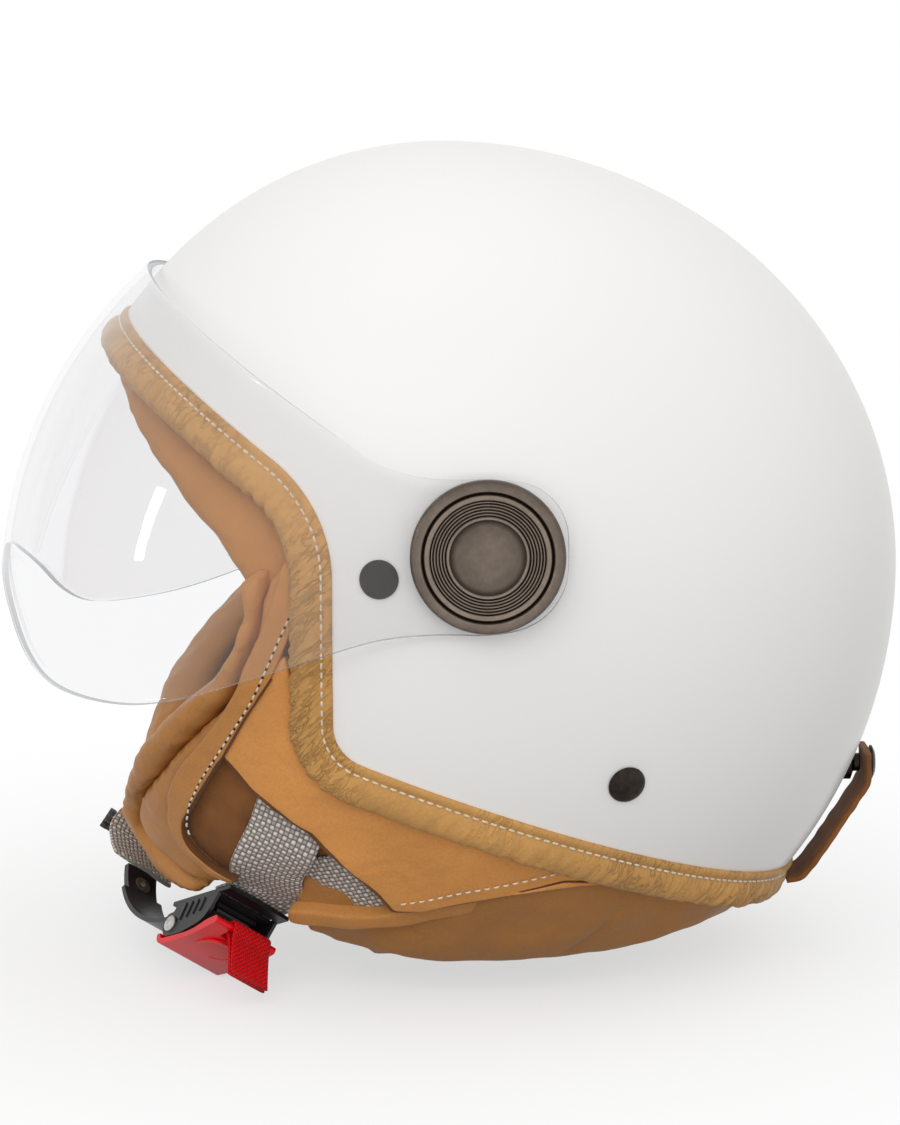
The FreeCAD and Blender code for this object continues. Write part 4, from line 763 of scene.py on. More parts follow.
def metal(name, bright, dull, rough, patina=False):
    """Plated metal with fine stains: worn bright on top, dull where it is stained.

    With patina, the piece's own attribute of that name darkens its recesses.
    """
    made, tree = material(name)
    place = add(tree, "ShaderNodeTexCoord").outputs["Object"]
    stain = add(
        tree, "ShaderNodeTexNoise", values={"Scale": per_metre(2.38), "Detail": 6.0, "Roughness": 0.7},
        Vector=place,
    )
    cloud = add(tree, "ShaderNodeTexNoise", values={"Scale": per_metre(14.29), "Detail": 3.0}, Vector=place)
    level = add(tree, "ShaderNodeMath", {"operation": "MULTIPLY"}, _0=stain, _1=cloud)
    level = add(tree, "ShaderNodeMapRange", values={"From Min": 0.14, "From Max": 0.36}, Value=level)
    if patina:
        worn = add(tree, "ShaderNodeAttribute", {"attribute_name": "patina"})
        lifted = add(tree, "ShaderNodeMath", {"operation": "MULTIPLY_ADD"}, {1: 0.3, 2: 0.7}, _0=level)
        clean = add(tree, "ShaderNodeMath", {"operation": "SUBTRACT"}, {0: 1.0}, _1=worn.outputs["Fac"])
        level = add(tree, "ShaderNodeMath", {"operation": "MULTIPLY"}, _0=lifted, _1=clean)
    tone = add(tree, "ShaderNodeValToRGB", stops=[(0.0, dull), (1.0, bright)], Fac=level)
    gloss = add(tree, "ShaderNodeMapRange", values={"To Min": rough + 0.15, "To Max": rough}, Value=level)
    bump = add(tree, "ShaderNodeBump", values={"Strength": 0.15, "Distance": 0.2 * MM}, Height=stain)
    shader = add(
        tree, "ShaderNodeBsdfPrincipled", values={"Metallic": 1.0},
        Base_Color=tone, Roughness=gloss, Normal=bump,
    )
    add(tree, "ShaderNodeOutputMaterial", Surface=shader)
    return made


def moulded(name, base, rough, relief):
    """Injection-moulded plastic: a satin sheen over a spark-eroded texture of that relief."""
    made, tree = material(name)
    place = add(tree, "ShaderNodeTexCoord").outputs["Object"]
    eroded = add(tree, "ShaderNodeTexNoise", values={"Scale": per_metre(0.714), "Detail": 2.0}, Vector=place)
    bump = add(tree, "ShaderNodeBump", values={"Strength": 0.3, "Distance": relief * MM}, Height=eroded)
    wander = add(tree, "ShaderNodeTexNoise", values={"Scale": per_metre(12.5), "Detail": 3.0}, Vector=place)
    tone = add(
        tree, "ShaderNodeValToRGB", stops=[(0.3, shade(base, 0.85)), (0.7, shade(base, 1.1))], Fac=wander
    )
    gloss = add(
        tree, "ShaderNodeMapRange", values={"To Min": rough - 0.06, "To Max": rough + 0.08}, Value=wander
    )
    shader = add(
        tree, "ShaderNodeBsdfPrincipled", values={"IOR": 1.5},
        Base_Color=tone, Roughness=gloss, Normal=bump,
    )
    add(tree, "ShaderNodeOutputMaterial", Surface=shader)
    return made


def beads():
    """Expanded polystyrene: dull dark beads about 4 mm across, pressed flat on each other."""
    made, tree = material("polystyrene_beads")
    place = add(tree, "ShaderNodeTexCoord").outputs["Object"]
    cells = add(
        tree, "ShaderNodeTexVoronoi", {"feature": "DISTANCE_TO_EDGE"}, {"Scale": per_metre(4.0)}, Vector=place
    )
    edge = add(tree, "ShaderNodeMapRange", values={"From Max": 0.12}, Value=cells)
    bump = add(tree, "ShaderNodeBump", values={"Strength": 0.7, "Distance": 0.6 * MM}, Height=edge)
    tone = add(tree, "ShaderNodeValToRGB", stops=[(0.0, "#141416"), (1.0, "#35353A")], Fac=edge)
    shader = add(tree, "ShaderNodeBsdfPrincipled", values={"Roughness": 0.75}, Base_Color=tone, Normal=bump)
    add(tree, "ShaderNodeOutputMaterial", Surface=shader)
    return made


# Under polycarbonate's own 1.58, which keeps the thin sheet's reflections faint.
SHEET_IOR = 1.45
# Share of the light, by channel, that one face of the clear sheet lets through.
SHEET_PASSES = (0.966, 0.966, 0.97, 1.0)


def clear_sheet():
    """Clear polycarbonate: see-through, with a reflection that grows at grazing angles.

    Light leaves the sheet's back face as it came in, so that face takes the inverse index.
    """
    made, tree = material("clear_polycarbonate")
    through = add(tree, "ShaderNodeBsdfTransparent", values={"Color": SHEET_PASSES})
    shine = add(tree, "ShaderNodeBsdfGlossy", values={"Roughness": 0.03, "Color": grey(1.0)})
    back = add(tree, "ShaderNodeNewGeometry").outputs["Backfacing"]
    index = add(
        tree, "ShaderNodeMapRange", values={"To Min": SHEET_IOR, "To Max": 1 / SHEET_IOR}, Value=back
    )
    share = add(tree, "ShaderNodeFresnel", IOR=index)
    both = add(tree, "ShaderNodeMixShader", _0=share, _1=through, _2=shine)
    add(tree, "ShaderNodeOutputMaterial", Surface=both)
    return made


def clear_edge():
    """Sawn and flamed edge of the clear sheet: a pale grey line that gathers light."""
    made, tree = material("clear_sheet_edge")
    through = add(tree, "ShaderNodeBsdfTransparent", values={"Color": (*rgb("#CED0D3"), 1.0)})
    body = add(
        tree, "ShaderNodeBsdfPrincipled",
        values={"Base Color": (*rgb("#B9BCC2"), 1.0), "Roughness": 0.2, "IOR": SHEET_IOR},
    )
    both = add(tree, "ShaderNodeMixShader", values={0: 0.45}, _1=through, _2=body)
    add(tree, "ShaderNodeOutputMaterial", Surface=both)
    return made


def thread():
    """Waxed sewing thread: off-white and dull, its twist drawn coarse enough to show."""
    made, tree = material("waxed_thread")
    place = add(tree, "ShaderNodeTexCoord").outputs["Object"]
    twist = add(tree, "ShaderNodeTexNoise", values={"Scale": per_metre(1.11), "Detail": 1.0}, Vector=place)
    tone = add(tree, "ShaderNodeValToRGB", stops=[(0.3, "#CFC3AE"), (0.7, "#EFE6D6")], Fac=twist)
    bump = add(tree, "ShaderNodeBump", values={"Strength": 0.5, "Distance": 0.2 * MM}, Height=twist)
    shader = add(tree, "ShaderNodeBsdfPrincipled", values={"Roughness": 0.7}, Base_Color=tone, Normal=bump)
    add(tree, "ShaderNodeOutputMaterial", Surface=shader)
    return made


FINISHES = {}


def finish_named(name):
    """The material of that name, made once."""
    c = bpy.context.scene.helmet_colours
    makers = {
        "lacquer": lacquer,
        "edging": lambda: leather("grained_edging_leather", c.edging, 1.1, 0.22, 0.6, 0.5, 0.45),
        "liner": lambda: leather("smooth_liner_leather", c.liner, 0.8, 0.14, 0.8, 0.5),
        # Lit and shaded copies of the liner leather: the flap's is painted lighter as painted light, the neck
        # roll's darker as painted shade.
        "flap": lambda: leather("liner_leather_painted_light", shade(c.liner, 1.35), 0.8, 0.14, 0.8, 0.5),
        "under": lambda: leather("liner_leather_painted_shade", shade(c.liner, 0.72), 0.8, 0.14, 0.8, 0.5),
        "suede": lambda: suede("brushed_suede", c.suede),
        "raw": lambda: suede("cut_leather_edge", shade(c.suede, 0.55)),
        # Near-black suede for the needle holes: painted shade in the holes.
        "needle_hole": lambda: suede("needle_hole", shade(c.suede, 0.1)),
        "lining": lambda: suede("brushed_lining_cloth", shade(c.suede, 0.8)),
        "webbing": lambda: woven("woven_webbing", c.webbing, mm("helmet_straps", "cell")),
        # Painted light: the tape's red is a quarter lighter than the lever's, and its yarn gaps get less
        # painted shade.
        "red_tape": lambda: woven("red_woven_tape_painted_light", shade(c.red, 1.25), 0.9, 0.8),
        "red_plastic": lambda: moulded("red_moulding", c.red, 0.35, 0.05),
        "black": lambda: moulded("black_satin_moulding", rgb("#17171A"), 0.38, 0.08),
        "antique": lambda: metal("antique_nickel_plate", rgb("#94867A"), rgb("#29221D"), 0.3, True),
        "gunmetal": lambda: metal("gunmetal_plate", rgb("#3C3531"), rgb("#26211E"), 0.32),
        "steel": lambda: metal("plain_steel", rgb("#C9C7C3"), rgb("#8E8B86"), 0.3),
        "foam": beads,
        "clear": clear_sheet,
        "clear_edge": clear_edge,
        "thread": thread,
    }
    if name not in FINISHES:
        FINISHES[name] = makers[name]()
    return FINISHES[name]


def dress(piece, finish, body, slot, *nodes):
    """Give a piece its finish, the body it rides on, its record slot and what it replaces."""
    piece.data.materials.append(finish_named(finish))
    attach(piece, body)
    if nodes:
        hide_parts(*nodes)


def refinish(node, finish):
    """Give a carried-over solid a better material."""
    piece = NODES[node]
    if not piece.material_slots:
        piece.data.materials.append(None)
    for place in piece.material_slots:
        place.material = finish_named(finish)


# ---------------------------------------------------------------- building blocks

# Depth below the shell at which the pads' edges are laid out.
PAD_DEPTH = 6.0
# Turns a place on the left into the one on the right.
FLIP = np.array([-1.0, 1.0, 1.0])


def side_curve(points, count, depth=PAD_DEPTH):
    """Curve on the left side of the form through side-view places, evenly spaced."""
    path = smooth_path(points, 400)
    return even(on_form(path[:, 0], path[:, 1], depth), count)


def rim_part(offset, first, last, count):
    """Part of the left rim at an offset, between two shares of its length."""
    return rim_place(np.linspace(first, last, count), offset, PAD_DEPTH)


def both_sides(curve):
    """A curve that starts on the middle plane, carried on to the other side."""
    return np.concatenate([curve[1:][::-1] * FLIP, curve])


def signed_power(wave, power):
    """A wave from -1 to 1 made squarer: its size to a power, with its own sign."""
    return np.sign(wave) * np.abs(wave) ** power


def at_depth(curve, depth):
    """A curve on the pads' layout depth, moved to another depth of the form."""
    return from_unit(unit(curve, PAD_DEPTH), depth)


def pad_between(name, front, back, outer, inner, power, around=40, ends=14, lip=1.0):
    """A closed pad between two curves on the form.

    u runs along the curves and v round a section whose rounding is a superellipse: its
    share of the way from front to back and its depth follow powers of cosine and sine. Both
    close at the ends with the root of 1 - |u|^ends. The outer depth goes from the first to
    the second of outer by the share to the power lip.
    """
    a = np.linspace(0, 2 * np.pi, around, endpoint=False)
    u = np.linspace(-1.0, 1.0, len(front))
    close = (np.clip(1 - np.abs(u) ** ends, 0.0, 1.0) ** 0.5 * 0.97 + 0.03)[:, None]
    share = 0.5 - 0.5 * signed_power(np.cos(a), power) * close
    rise = signed_power(np.sin(a), power) * close
    top = outer[0] + (outer[1] - outer[0]) * share**lip
    depth = (top + inner) / 2 - (inner - top) / 2 * rise
    first, last = unit(front, PAD_DEPTH)[:, None, :], unit(back, PAD_DEPTH)[:, None, :]
    w = first * (1 - share[..., None]) + last * share[..., None]
    return grid_object(name, from_unit(w, depth), wrap_v=True, caps=True)


def mirror_of(piece, name):
    """The same piece on the other side of the middle plane."""
    other = bpy.data.objects.new(name, piece.data.copy())
    bpy.context.scene.collection.objects.link(other)
    place_points(other, points_of(other) * FLIP)
    other.data.flip_normals()
    return other


def joined(name, pieces):
    """Several pieces as one object."""
    shape = bmesh.new()
    for piece in pieces:
        shape.from_mesh(piece.data)
        mesh = piece.data
        bpy.data.objects.remove(piece)
        bpy.data.meshes.remove(mesh)
    mesh = bpy.data.meshes.new(name)
    shape.to_mesh(mesh)
    shape.free()
    whole = bpy.data.objects.new(name, mesh)
    bpy.context.scene.collection.objects.link(whole)
    return whole


def thickened(piece, wall, edge=0, side=-1.0):
    """Give an open surface a wall, inwards or by side 1 outwards; edge is the rim's material."""
    change = piece.modifiers.new("wall", "SOLIDIFY")
    change.thickness = wall * MM
    change.offset = side
    change.material_offset_rim = edge
    settle(piece)


def turned(name, profile, centre, axis, count):
    """Body of revolution: a profile of (radius, height) turned about an axis from its centre."""
    axis = np.asarray(axis, float) / np.linalg.norm(axis)
    side = np.cross(axis, (0.0, 0.0, 1.0) if abs(axis[2]) < 0.9 else (1.0, 0.0, 0.0))
    side /= np.linalg.norm(side)
    other = np.cross(axis, side)
    r, h = np.asarray(profile, float).T
    a = np.linspace(0, 2 * np.pi, count, endpoint=False)[:, None, None]
    ring = np.cos(a) * side + np.sin(a) * other
    p = np.asarray(centre, float) + ring * r[None, :, None] + axis * h[None, :, None]
    return grid_object(name, p, wrap_u=True)


def ribbon(name, stations, width, thick, count=160, around=28):
    """Flat strap: a rounded oblong section carried along a smooth path.

    Each station is a place and the direction across the strap. The directions are squared
    to the path, and the section's half width and half height follow powers of cosine and sine.
    """
    data = np.array([np.concatenate([place, across]) for place, across in stations], float)
    fine = smooth_path(data[:, :3], count)
    run = run_along(fine)
    stops = [run[np.argmin(np.linalg.norm(fine - q, axis=1))] for q in data[:, :3]]
    across = np.stack([np.interp(run, stops, data[:, 3 + k]) for k in range(3)], axis=1)
    ahead = np.gradient(fine, axis=0)
    ahead /= np.linalg.norm(ahead, axis=1, keepdims=True)
    across -= ahead * (across * ahead).sum(axis=1, keepdims=True)
    across /= np.linalg.norm(across, axis=1, keepdims=True)
    up = np.cross(ahead, across)
    a = np.linspace(0, 2 * np.pi, around, endpoint=False)
    flat = signed_power(np.cos(a), 0.25)[None, :, None] * width / 2
    high = signed_power(np.sin(a), 0.6)[None, :, None] * thick / 2
    p = fine[:, None, :] + across[:, None, :] * flat + up[:, None, :] * high
    return grid_object(name, p, wrap_v=True, caps=True)


def roughen(piece, height, wave, seed):
    """Soft hand-made unevenness of a leather cover: each point moves by folds of that height."""
    p = points_of(piece)
    place_points(piece, p + normals_of(piece) * (height * folds(p, wave, seed))[:, None])


# ---------------------------------------------------------------- shell and edging

# Side-view places of the front and the rear rivet.
RIVETS = ((-19.6, 15.5), (59.9, -54.3))
# Depth and radius of the seat pressed into the lacquer round a rivet.
RIVET_DIP = 0.45
RIVET_DIP_RADIUS = 6.6
# Direction of the crown's middle on the unit sphere.
CROWN_POLE = np.array([0.0, 0.6, 0.8])


def dome(edge, rows, depth):
    """Surface from a closed edge loop to the crown: each column is an arc on the unit sphere."""
    w = unit(edge)[:, None, :]
    angle = np.arccos(np.clip(w @ CROWN_POLE, -1, 1))[..., None]
    v = np.linspace(0.0, 1.0, rows)[None, :, None]
    w = (np.sin((1 - v) * angle) * w + np.sin(v * angle) * CROWN_POLE) / np.sin(angle)
    return from_unit(w, depth)


def rim_shares(count):
    """Shares round the whole rim: brow middle, left side, nape, then the right side."""
    t = np.linspace(0.0, 2.0, count, endpoint=False)
    return np.where(t <= 1.0, t, t - 2.0)


def make_shell():
    """The form above the rim as a dome, sunk by a flat-topped bell round each rivet."""
    p = dome(rim_place(rim_shares(320), 0.0, 0.0), 76, 0.0)
    for y, z in RIVETS:
        spot = on_form(y, z)
        for place in (spot, spot * FLIP):
            away = np.linalg.norm(p - place, axis=-1)
            dip = RIVET_DIP * np.exp(-((away / RIVET_DIP_RADIUS) ** 4))
            p = p - form_normal(p) * dip[..., None]
    piece = grid_object("shell_lacquer", p, wrap_u=True)
    thickened(piece, mm("helmet_form", "wall"))
    dress(piece, "lacquer", "helmet", "shell_paint", "shell")


# Section of the edging: offset towards the opening and depth below the shell.
EDGE_SECTION = [
    (-8.8, 0.6), (-9.6, -0.5), (-9.1, -1.3), (-7.8, -1.5), (-6.7, -1.25), (-6.2, -0.8),
    (-5.6, -1.35), (-4.2, -2.4), (-1.8, -3.2), (0.8, -3.3), (3.0, -2.3), (4.3, 0.2),
    (4.5, 3.2), (3.4, 6.0), (1.0, 7.0), (-2.0, 6.9), (-4.0, 4.5), (-5.5, 2.0),
]
# The groove in that section, and how far the thread's axis lies above it.
EDGE_GROOVE = (-6.2, -0.9)
EDGE_LIFT = 0.1
# Length along the rim and across it of the edging's four sizes of wrinkle, and the length
# over which their lines wander.
EDGE_WRINKLES = ((2.6, 9.0), (3.7, -13.0), (5.6, 18.0), (9.5, -26.0))
EDGE_WANDER = 31.0
# Points along the rim and round the section, with their mean distance in the section.
EDGE_COUNT = 1000
EDGE_AROUND = 46
EDGE_STEP = 0.75
# Point of the section that lies on the edging's outer face.
EDGE_FACE = 8


def creases(s, q, total, seed):
    """Sharp creases between soft ridges: powers of |sin| of slanted waves, periodic in s."""
    draw = np.random.RandomState(seed)
    height = 0.0
    for along, across in EDGE_WRINKLES:
        for _ in range(2):
            turns = np.round(total / (along * draw.uniform(0.8, 1.25)))
            phase, bend = draw.uniform(0, 2 * np.pi, 2)
            warp = 1.3 * np.sin(2 * np.pi * np.round(total / EDGE_WANDER) * s / total + q / 5.0 + bend)
            wave = np.sin(np.pi * turns * s / total + np.pi * q / across + phase + warp)
            height = height + (np.abs(wave) ** 0.7 - 0.62) * along
    return height / 14.0


def make_edging():
    """The section carried round the rim, wrinkled where it is puffed out, in wandering patches."""
    section = smooth_path(EDGE_SECTION, EDGE_AROUND, closed=True)
    p = rim_place(rim_shares(EDGE_COUNT)[:, None], section[:, 0], section[:, 1])
    total = run_along(p[:, EDGE_FACE])[-1]
    s = np.linspace(0, total, EDGE_COUNT, endpoint=False)[:, None]
    q = np.arange(EDGE_AROUND)[None, :] * EDGE_STEP
    puffed = np.clip((section[:, 0] + 5.8) / 3.0, 0, 1) * np.clip((5.0 - section[:, 1]) / 3.0, 0, 1)
    relief = creases(s, q, total, 3) * puffed * mm("helmet_leather", "wrinkle")
    turn = 2 * np.pi * s / total
    patch = 0.65 + 0.5 * np.sin(7 * turn + 1.0) * np.sin(3 * turn)
    n = grid_normals(p, True, True)
    outward = np.sign((n * form_normal(p))[:, EDGE_FACE].sum())
    p = p + n * (relief * patch)[..., None] * outward
    piece = grid_object("edging_wrap", p, wrap_u=True, wrap_v=True)
    dress(piece, "edging", "helmet", "trim_leather", "edge_trim")
    u = np.linspace(0.0, 2.0, 2400)
    path = rim_place(np.where(u <= 1, u, u - 2), *EDGE_GROOVE)
    sizes = mm("helmet_leather", "edge_stitch", "edge_pitch", "edge_thread")
    dress(stitch_row("edging_stitches", path, EDGE_LIFT, *sizes), "thread", "helmet", "trim_leather")


# ---------------------------------------------------------------- liner

# Depth below the shell and thickness of the crown's lining.
LINING_DEPTH = 38.0
LINING_THICK = 6.0
# Height of the lining's quilted cells.
QUILT = 3.2
# In front of this y the lining stops at this height, above the ears.
LINING_BACK_Y = 34.0
LINING_LOW_Z = -8.0


def make_crown():
    """A dome inside the foam, quilted: lobes are a root of |sin| across times |cos| along."""
    _, y, z = rim_half(-10.0, 900).T
    half = even(on_form(y, np.where(y < LINING_BACK_Y, np.maximum(z, LINING_LOW_Z), z)), 130)
    loop = np.concatenate([half, half[1:-1][::-1] * FLIP])
    w = unit(dome(loop, 60, 0.0))
    lobes = np.abs(np.sin(5.0 * np.arctan2(w[..., 0], w[..., 2] + 1.2))) ** 0.5
    lobes = lobes * np.abs(np.cos(4.0 * w[..., 1])) ** 0.35
    piece = grid_object("crown_lining", from_unit(w, LINING_DEPTH + QUILT * lobes), wrap_u=True)
    thickened(piece, LINING_THICK, side=1.0)
    dress(piece, "lining", "helmet", "lining_fabric", "crown_pad")


# Depth below the shell of the liner's seams.
SEAM_DEPTH = 0.2
# The point lists of the liner are side-view places (y, z) on the form.
BROW_LOW = [
    (-118, 75), (-110, 67), (-104.5, 56.5), (-98.5, 48), (-92, 40), (-85.5, 32), (-79, 25),
    (-73.5, 18), (-70, 11), (-67, 4), (-64, -4),
]


def make_brow():
    """A stuffed pad from the rim down to the brow's edge, across the middle."""
    top = both_sides(rim_part(offset=2.0, first=0.0, last=0.4, count=90))
    low = both_sides(side_curve(BROW_LOW, 90))
    piece = pad_between("brow_liner", top, low, outer=(5.5, 5.0), inner=40.0, power=0.45)
    filled(piece, voxel=4.0, cap=3.0)
    subdivided(piece)
    roughen(piece, height=0.5, wave=15.0, seed=11)
    dress(piece, "liner", "helmet", "liner_leather", "brow_liner")


# The cheek: its rolled front, the panel behind with its hem, the suede and the core below.
ROLL_FRONT = [
    (-60, 17), (-67, 10.5), (-65, 5), (-64.5, -2), (-66.5, -7.5), (-69, -15), (-74, -22),
    (-80, -28), (-87, -34), (-93.5, -41), (-99, -48.5), (-103.5, -56), (-106.5, -65.5),
    (-109, -76), (-109.5, -86.5), (-108, -92.5), (-104, -99), (-98.5, -104.5), (-91.5, -107.5),
    (-84, -107), (-77, -103.5),
]
ROLL_SEAM = [
    (-54, 20.5), (-55, 17), (-57.5, 9), (-59, -1.5), (-62, -13), (-65, -22), (-69, -29),
    (-73, -33.5), (-79, -39.5), (-86.5, -48), (-92.5, -56), (-97, -62.5), (-101.5, -70),
    (-104, -76.5), (-104.5, -82.5), (-102.5, -87.5), (-98.5, -92.5), (-93, -96.5), (-86.5, -100.5),
    (-79, -104),
]
PANEL_BACK = [
    (-45, 16), (-48, 0), (-53, -13), (-61, -28.5), (-69.5, -42), (-77, -54.5), (-83, -66),
    (-85, -74), (-83.5, -80.5), (-79, -86.5), (-73, -91), (-67, -94),
]
HEM_FOLD = [
    (-47, 22), (-48.5, 18.5), (-51.5, 8), (-55, -1.5), (-58.5, -9.5), (-61, -15), (-64, -23),
    (-68, -30.5), (-73, -38), (-78, -45), (-82.5, -51), (-85.5, -56.5), (-87.5, -62.5), (-88, -68),
    (-88, -74), (-86.5, -79), (-83, -84), (-77, -89), (-69, -93.5),
]
HEM_RAW = [
    (-43, 8), (-45, 0), (-49, -10), (-52.5, -18), (-57.5, -26), (-61.5, -32.5), (-65.5, -40),
    (-68.5, -45.5), (-72.5, -52), (-76.5, -59), (-80, -66), (-82.5, -71), (-83, -76.5),
    (-81, -81.5), (-76, -86), (-71, -89), (-66, -91),
]
HEM_STITCH = [
    (-47.5, 4.5), (-49, 0.5), (-51.5, -5), (-56, -15.5), (-61, -26.5), (-66.5, -36), (-72.5, -46),
    (-78.5, -56), (-81, -61.5), (-83, -66), (-84, -70.5), (-84.5, -75), (-83.5, -79),
]
SUEDE_FRONT = [
    (-68, -28), (-76, -44), (-83, -56), (-87, -66), (-89, -76), (-86, -84), (-79, -91), (-70, -97),
]
SUEDE_BACK = [
    (-44, -30), (-44, -46), (-44, -60), (-44, -74), (-44, -84), (-44, -91), (-45, -97),
    (-50, -101),
]
CORE_FRONT = [(-54, 14), (-54, -10), (-52, -30), (-52, -50), (-52, -70)]
CORE_BACK = [(26, -10), (28, -22), (28, -40), (24, -56), (10, -64)]


def leather_pad(name, front, back, outer, inner, power, voxel, cap, count=110):
    """A stuffed leather pad between two side-view curves, left side."""
    piece = pad_between(name, side_curve(front, count), side_curve(back, count), outer, inner, power)
    filled(piece, voxel, cap)
    subdivided(piece)
    return piece


def pair(piece, finish, node=None):
    """Dress a left piece of the liner and its mirror image, which replace a node of each side."""
    other = mirror_of(piece, piece.name.replace("left_", "right_"))
    for item, side in ((piece, "left_"), (other, "right_")):
        dress(item, finish, "helmet", "liner_leather", *([side + node] if node else []))


def raw_edge(name, path, thick):
    """Unfinished cut edges of the hide on both sides: a thin dark bead along a path."""
    spots = even(path, 90)
    pair(ribbon(name, list(zip(spots, form_normal(spots))), 2.8, thick, 400, 12), "raw")


def make_cheeks():
    """Each cheek: a rolled front, a panel behind it with a sewn hem, suede and a core below."""
    roll = leather_pad(
        "left_cheek_front_roll", ROLL_FRONT, ROLL_SEAM,
        outer=(1.5, 2.6), inner=28.0, power=0.7, voxel=2.5, cap=1.6, count=150,
    )
    roughen(roll, height=0.35, wave=13.0, seed=21)
    pair(roll, "liner", "cheek_pad")
    panel = leather_pad(
        "left_cheek_panel", ROLL_SEAM, PANEL_BACK,
        outer=(4.6, 5.0), inner=15.0, power=0.4, voxel=3.0, cap=2.0, count=150,
    )
    roughen(panel, height=0.3, wave=16.0, seed=22)
    pair(panel, "liner")
    nap = leather_pad(
        "left_cheek_suede", SUEDE_FRONT, SUEDE_BACK,
        outer=(4.6, 9.6), inner=27.0, power=0.4, voxel=3.0, cap=1.5,
    )
    roughen(nap, height=0.5, wave=18.0, seed=23)
    pair(nap, "suede")
    core = leather_pad(
        "left_cheek_core", CORE_FRONT, CORE_BACK,
        outer=(14.0, 14.0), inner=29.0, power=0.4, voxel=4.0, cap=2.0,
    )
    pair(core, "suede")
    fold, raw = side_curve(HEM_FOLD, 220), side_curve(HEM_RAW, 220)
    hem = pad_between("left_cheek_hem", fold, raw, outer=(0.7, 0.0), inner=3.6, power=0.3, ends=40)
    roughen(hem, height=0.15, wave=9.0, seed=24)
    pair(hem, "liner")
    path = side_curve(HEM_STITCH, 500, SEAM_DEPTH)
    stitch, pitch = mm("helmet_leather", "seam_stitch", "seam_pitch")
    row = stitch_row("left_hem_stitches", path, 0.05, stitch, pitch, radius=0.36)
    pair(row, "thread")
    # Near-black capsules sunk between the stitches: painted shade in the needle holes.
    holes = stitch_row("left_needle_holes", path, -0.05, stitch / 2, pitch, radius=0.42, shift=0.5)
    pair(holes, "needle_hole")
    raw_edge("left_hem_raw_edge", at_depth(side_curve(HEM_RAW[3:], 90), 1.8), 0.9)


# The flap's free edge, from the temple down and back, and the seam along its foot.
FLAP_EDGE = [
    (-49, -8), (-49, -10), (-69, -46), (-64.5, -51), (-60, -56.5), (-53.5, -62), (-47, -66.5),
    (-41.5, -70), (-37, -75.5), (-32, -80), (-25.5, -86), (-20, -91.5), (-15.5, -97.5), (-7, -97),
    (6, -94), (22, -91), (39, -87.5), (47, -88),
]
FLAP_SEAM = [(-14, -96.5), (-6, -95), (6, -92), (22, -89), (38, -85.5), (44, -84.5)]


def make_flaps():
    """A thin leather flap from the rim to its straight-cut edge, sewn along its foot."""
    top = rim_part(offset=2.5, first=0.45, last=0.78, count=220)
    low = even(on_form(*even(np.array(FLAP_EDGE, float), 900).T, PAD_DEPTH), 220)
    piece = pad_between(
        "left_ear_flap", top, low, outer=(1.8, 1.2), inner=4.6, power=0.35, around=56, ends=60
    )
    roughen(piece, height=0.35, wave=24.0, seed=31)
    # The flap's leather is the liner's painted lighter: painted light.
    pair(piece, "flap", "ear_flap")
    path = side_curve(FLAP_SEAM, 300, SEAM_DEPTH)
    stitch, pitch = mm("helmet_leather", "seam_stitch", "seam_pitch")
    row = stitch_row("left_flap_stitches", path, 0.1, stitch, pitch, radius=0.34)
    pair(row, "thread")
    raw_edge("left_flap_raw_edge", at_depth(low[45:], 3.0), 1.5)


# The neck roll's lower edge, the band above its front and the seam across its side.
ROLL_LOW = [
    (-52, -92), (-51, -104), (-48, -113), (-42, -119), (-34, -122.5), (-20, -124.4), (20, -125),
    (51, -124.4), (75, -122), (97, -119.5), (107, -116.5), (113.5, -113),
]
BAND_TOP = [
    (-51, -103), (-44, -102.4), (-32, -102.6), (-20, -101.6), (-8, -97.5), (4, -91), (29, -84),
    (45, -79), (52, -76),
]
PIPING = [
    (-51, -108), (-44, -108), (-30, -108), (-14, -105.6), (6, -101), (29, -95), (45, -89),
    (52, -85),
]
CROSS_SEAM = [(63, -92), (60, -104), (50, -115), (42, -121)]
# Depth below the shell of the roll's outer face.
NECK_DEPTH = 3.6
# How far the roll's upper edge sinks below the straps at its two ends.
NECK_SINK = 9.8


def make_neck():
    """A stuffed roll round the nape with a pressed seam a side, and a band above its front."""
    top = both_sides(rim_part(offset=3.0, first=0.53, last=1.0, count=200)[::-1])
    low = both_sides(side_curve(ROLL_LOW, 200)[::-1])
    u = np.abs(np.linspace(-1.0, 1.0, len(top)))[:, None]
    sunk = NECK_DEPTH + NECK_SINK * np.clip((u - 0.7) / 0.1, 0.0, 1.0)
    piece = pad_between(
        "neck_roll", top, low, outer=(sunk, NECK_DEPTH), inner=30.0, power=0.35, ends=60, lip=4.0
    )
    filled(piece, voxel=4.5, cap=3.0)
    subdivided(piece)
    seam = side_curve(CROSS_SEAM, 120, 2.0)
    for path in (seam, seam * FLIP):
        press_seam(piece, path, depth=1.6, width=1.8)
    roughen(piece, height=0.5, wave=22.0, seed=41)
    # The roll's leather is the liner's painted darker: painted shade on its underside.
    dress(piece, "under", "helmet", "liner_leather", "neck_roll")
    band = pad_between(
        "left_neck_band", side_curve(BAND_TOP, 200), side_curve(PIPING, 200),
        outer=(3.6, 3.4), inner=9.0, power=0.35, ends=60,
    )
    roughen(band, height=0.3, wave=14.0, seed=42)
    pair(band, "liner")


# The goggle loop's path on the middle plane, y and z.
LOOP_PATH = [
    (121.5, -111.5), (127, -110), (134, -101), (141, -90), (148, -79), (149.6, -75), (149.2, -66),
]


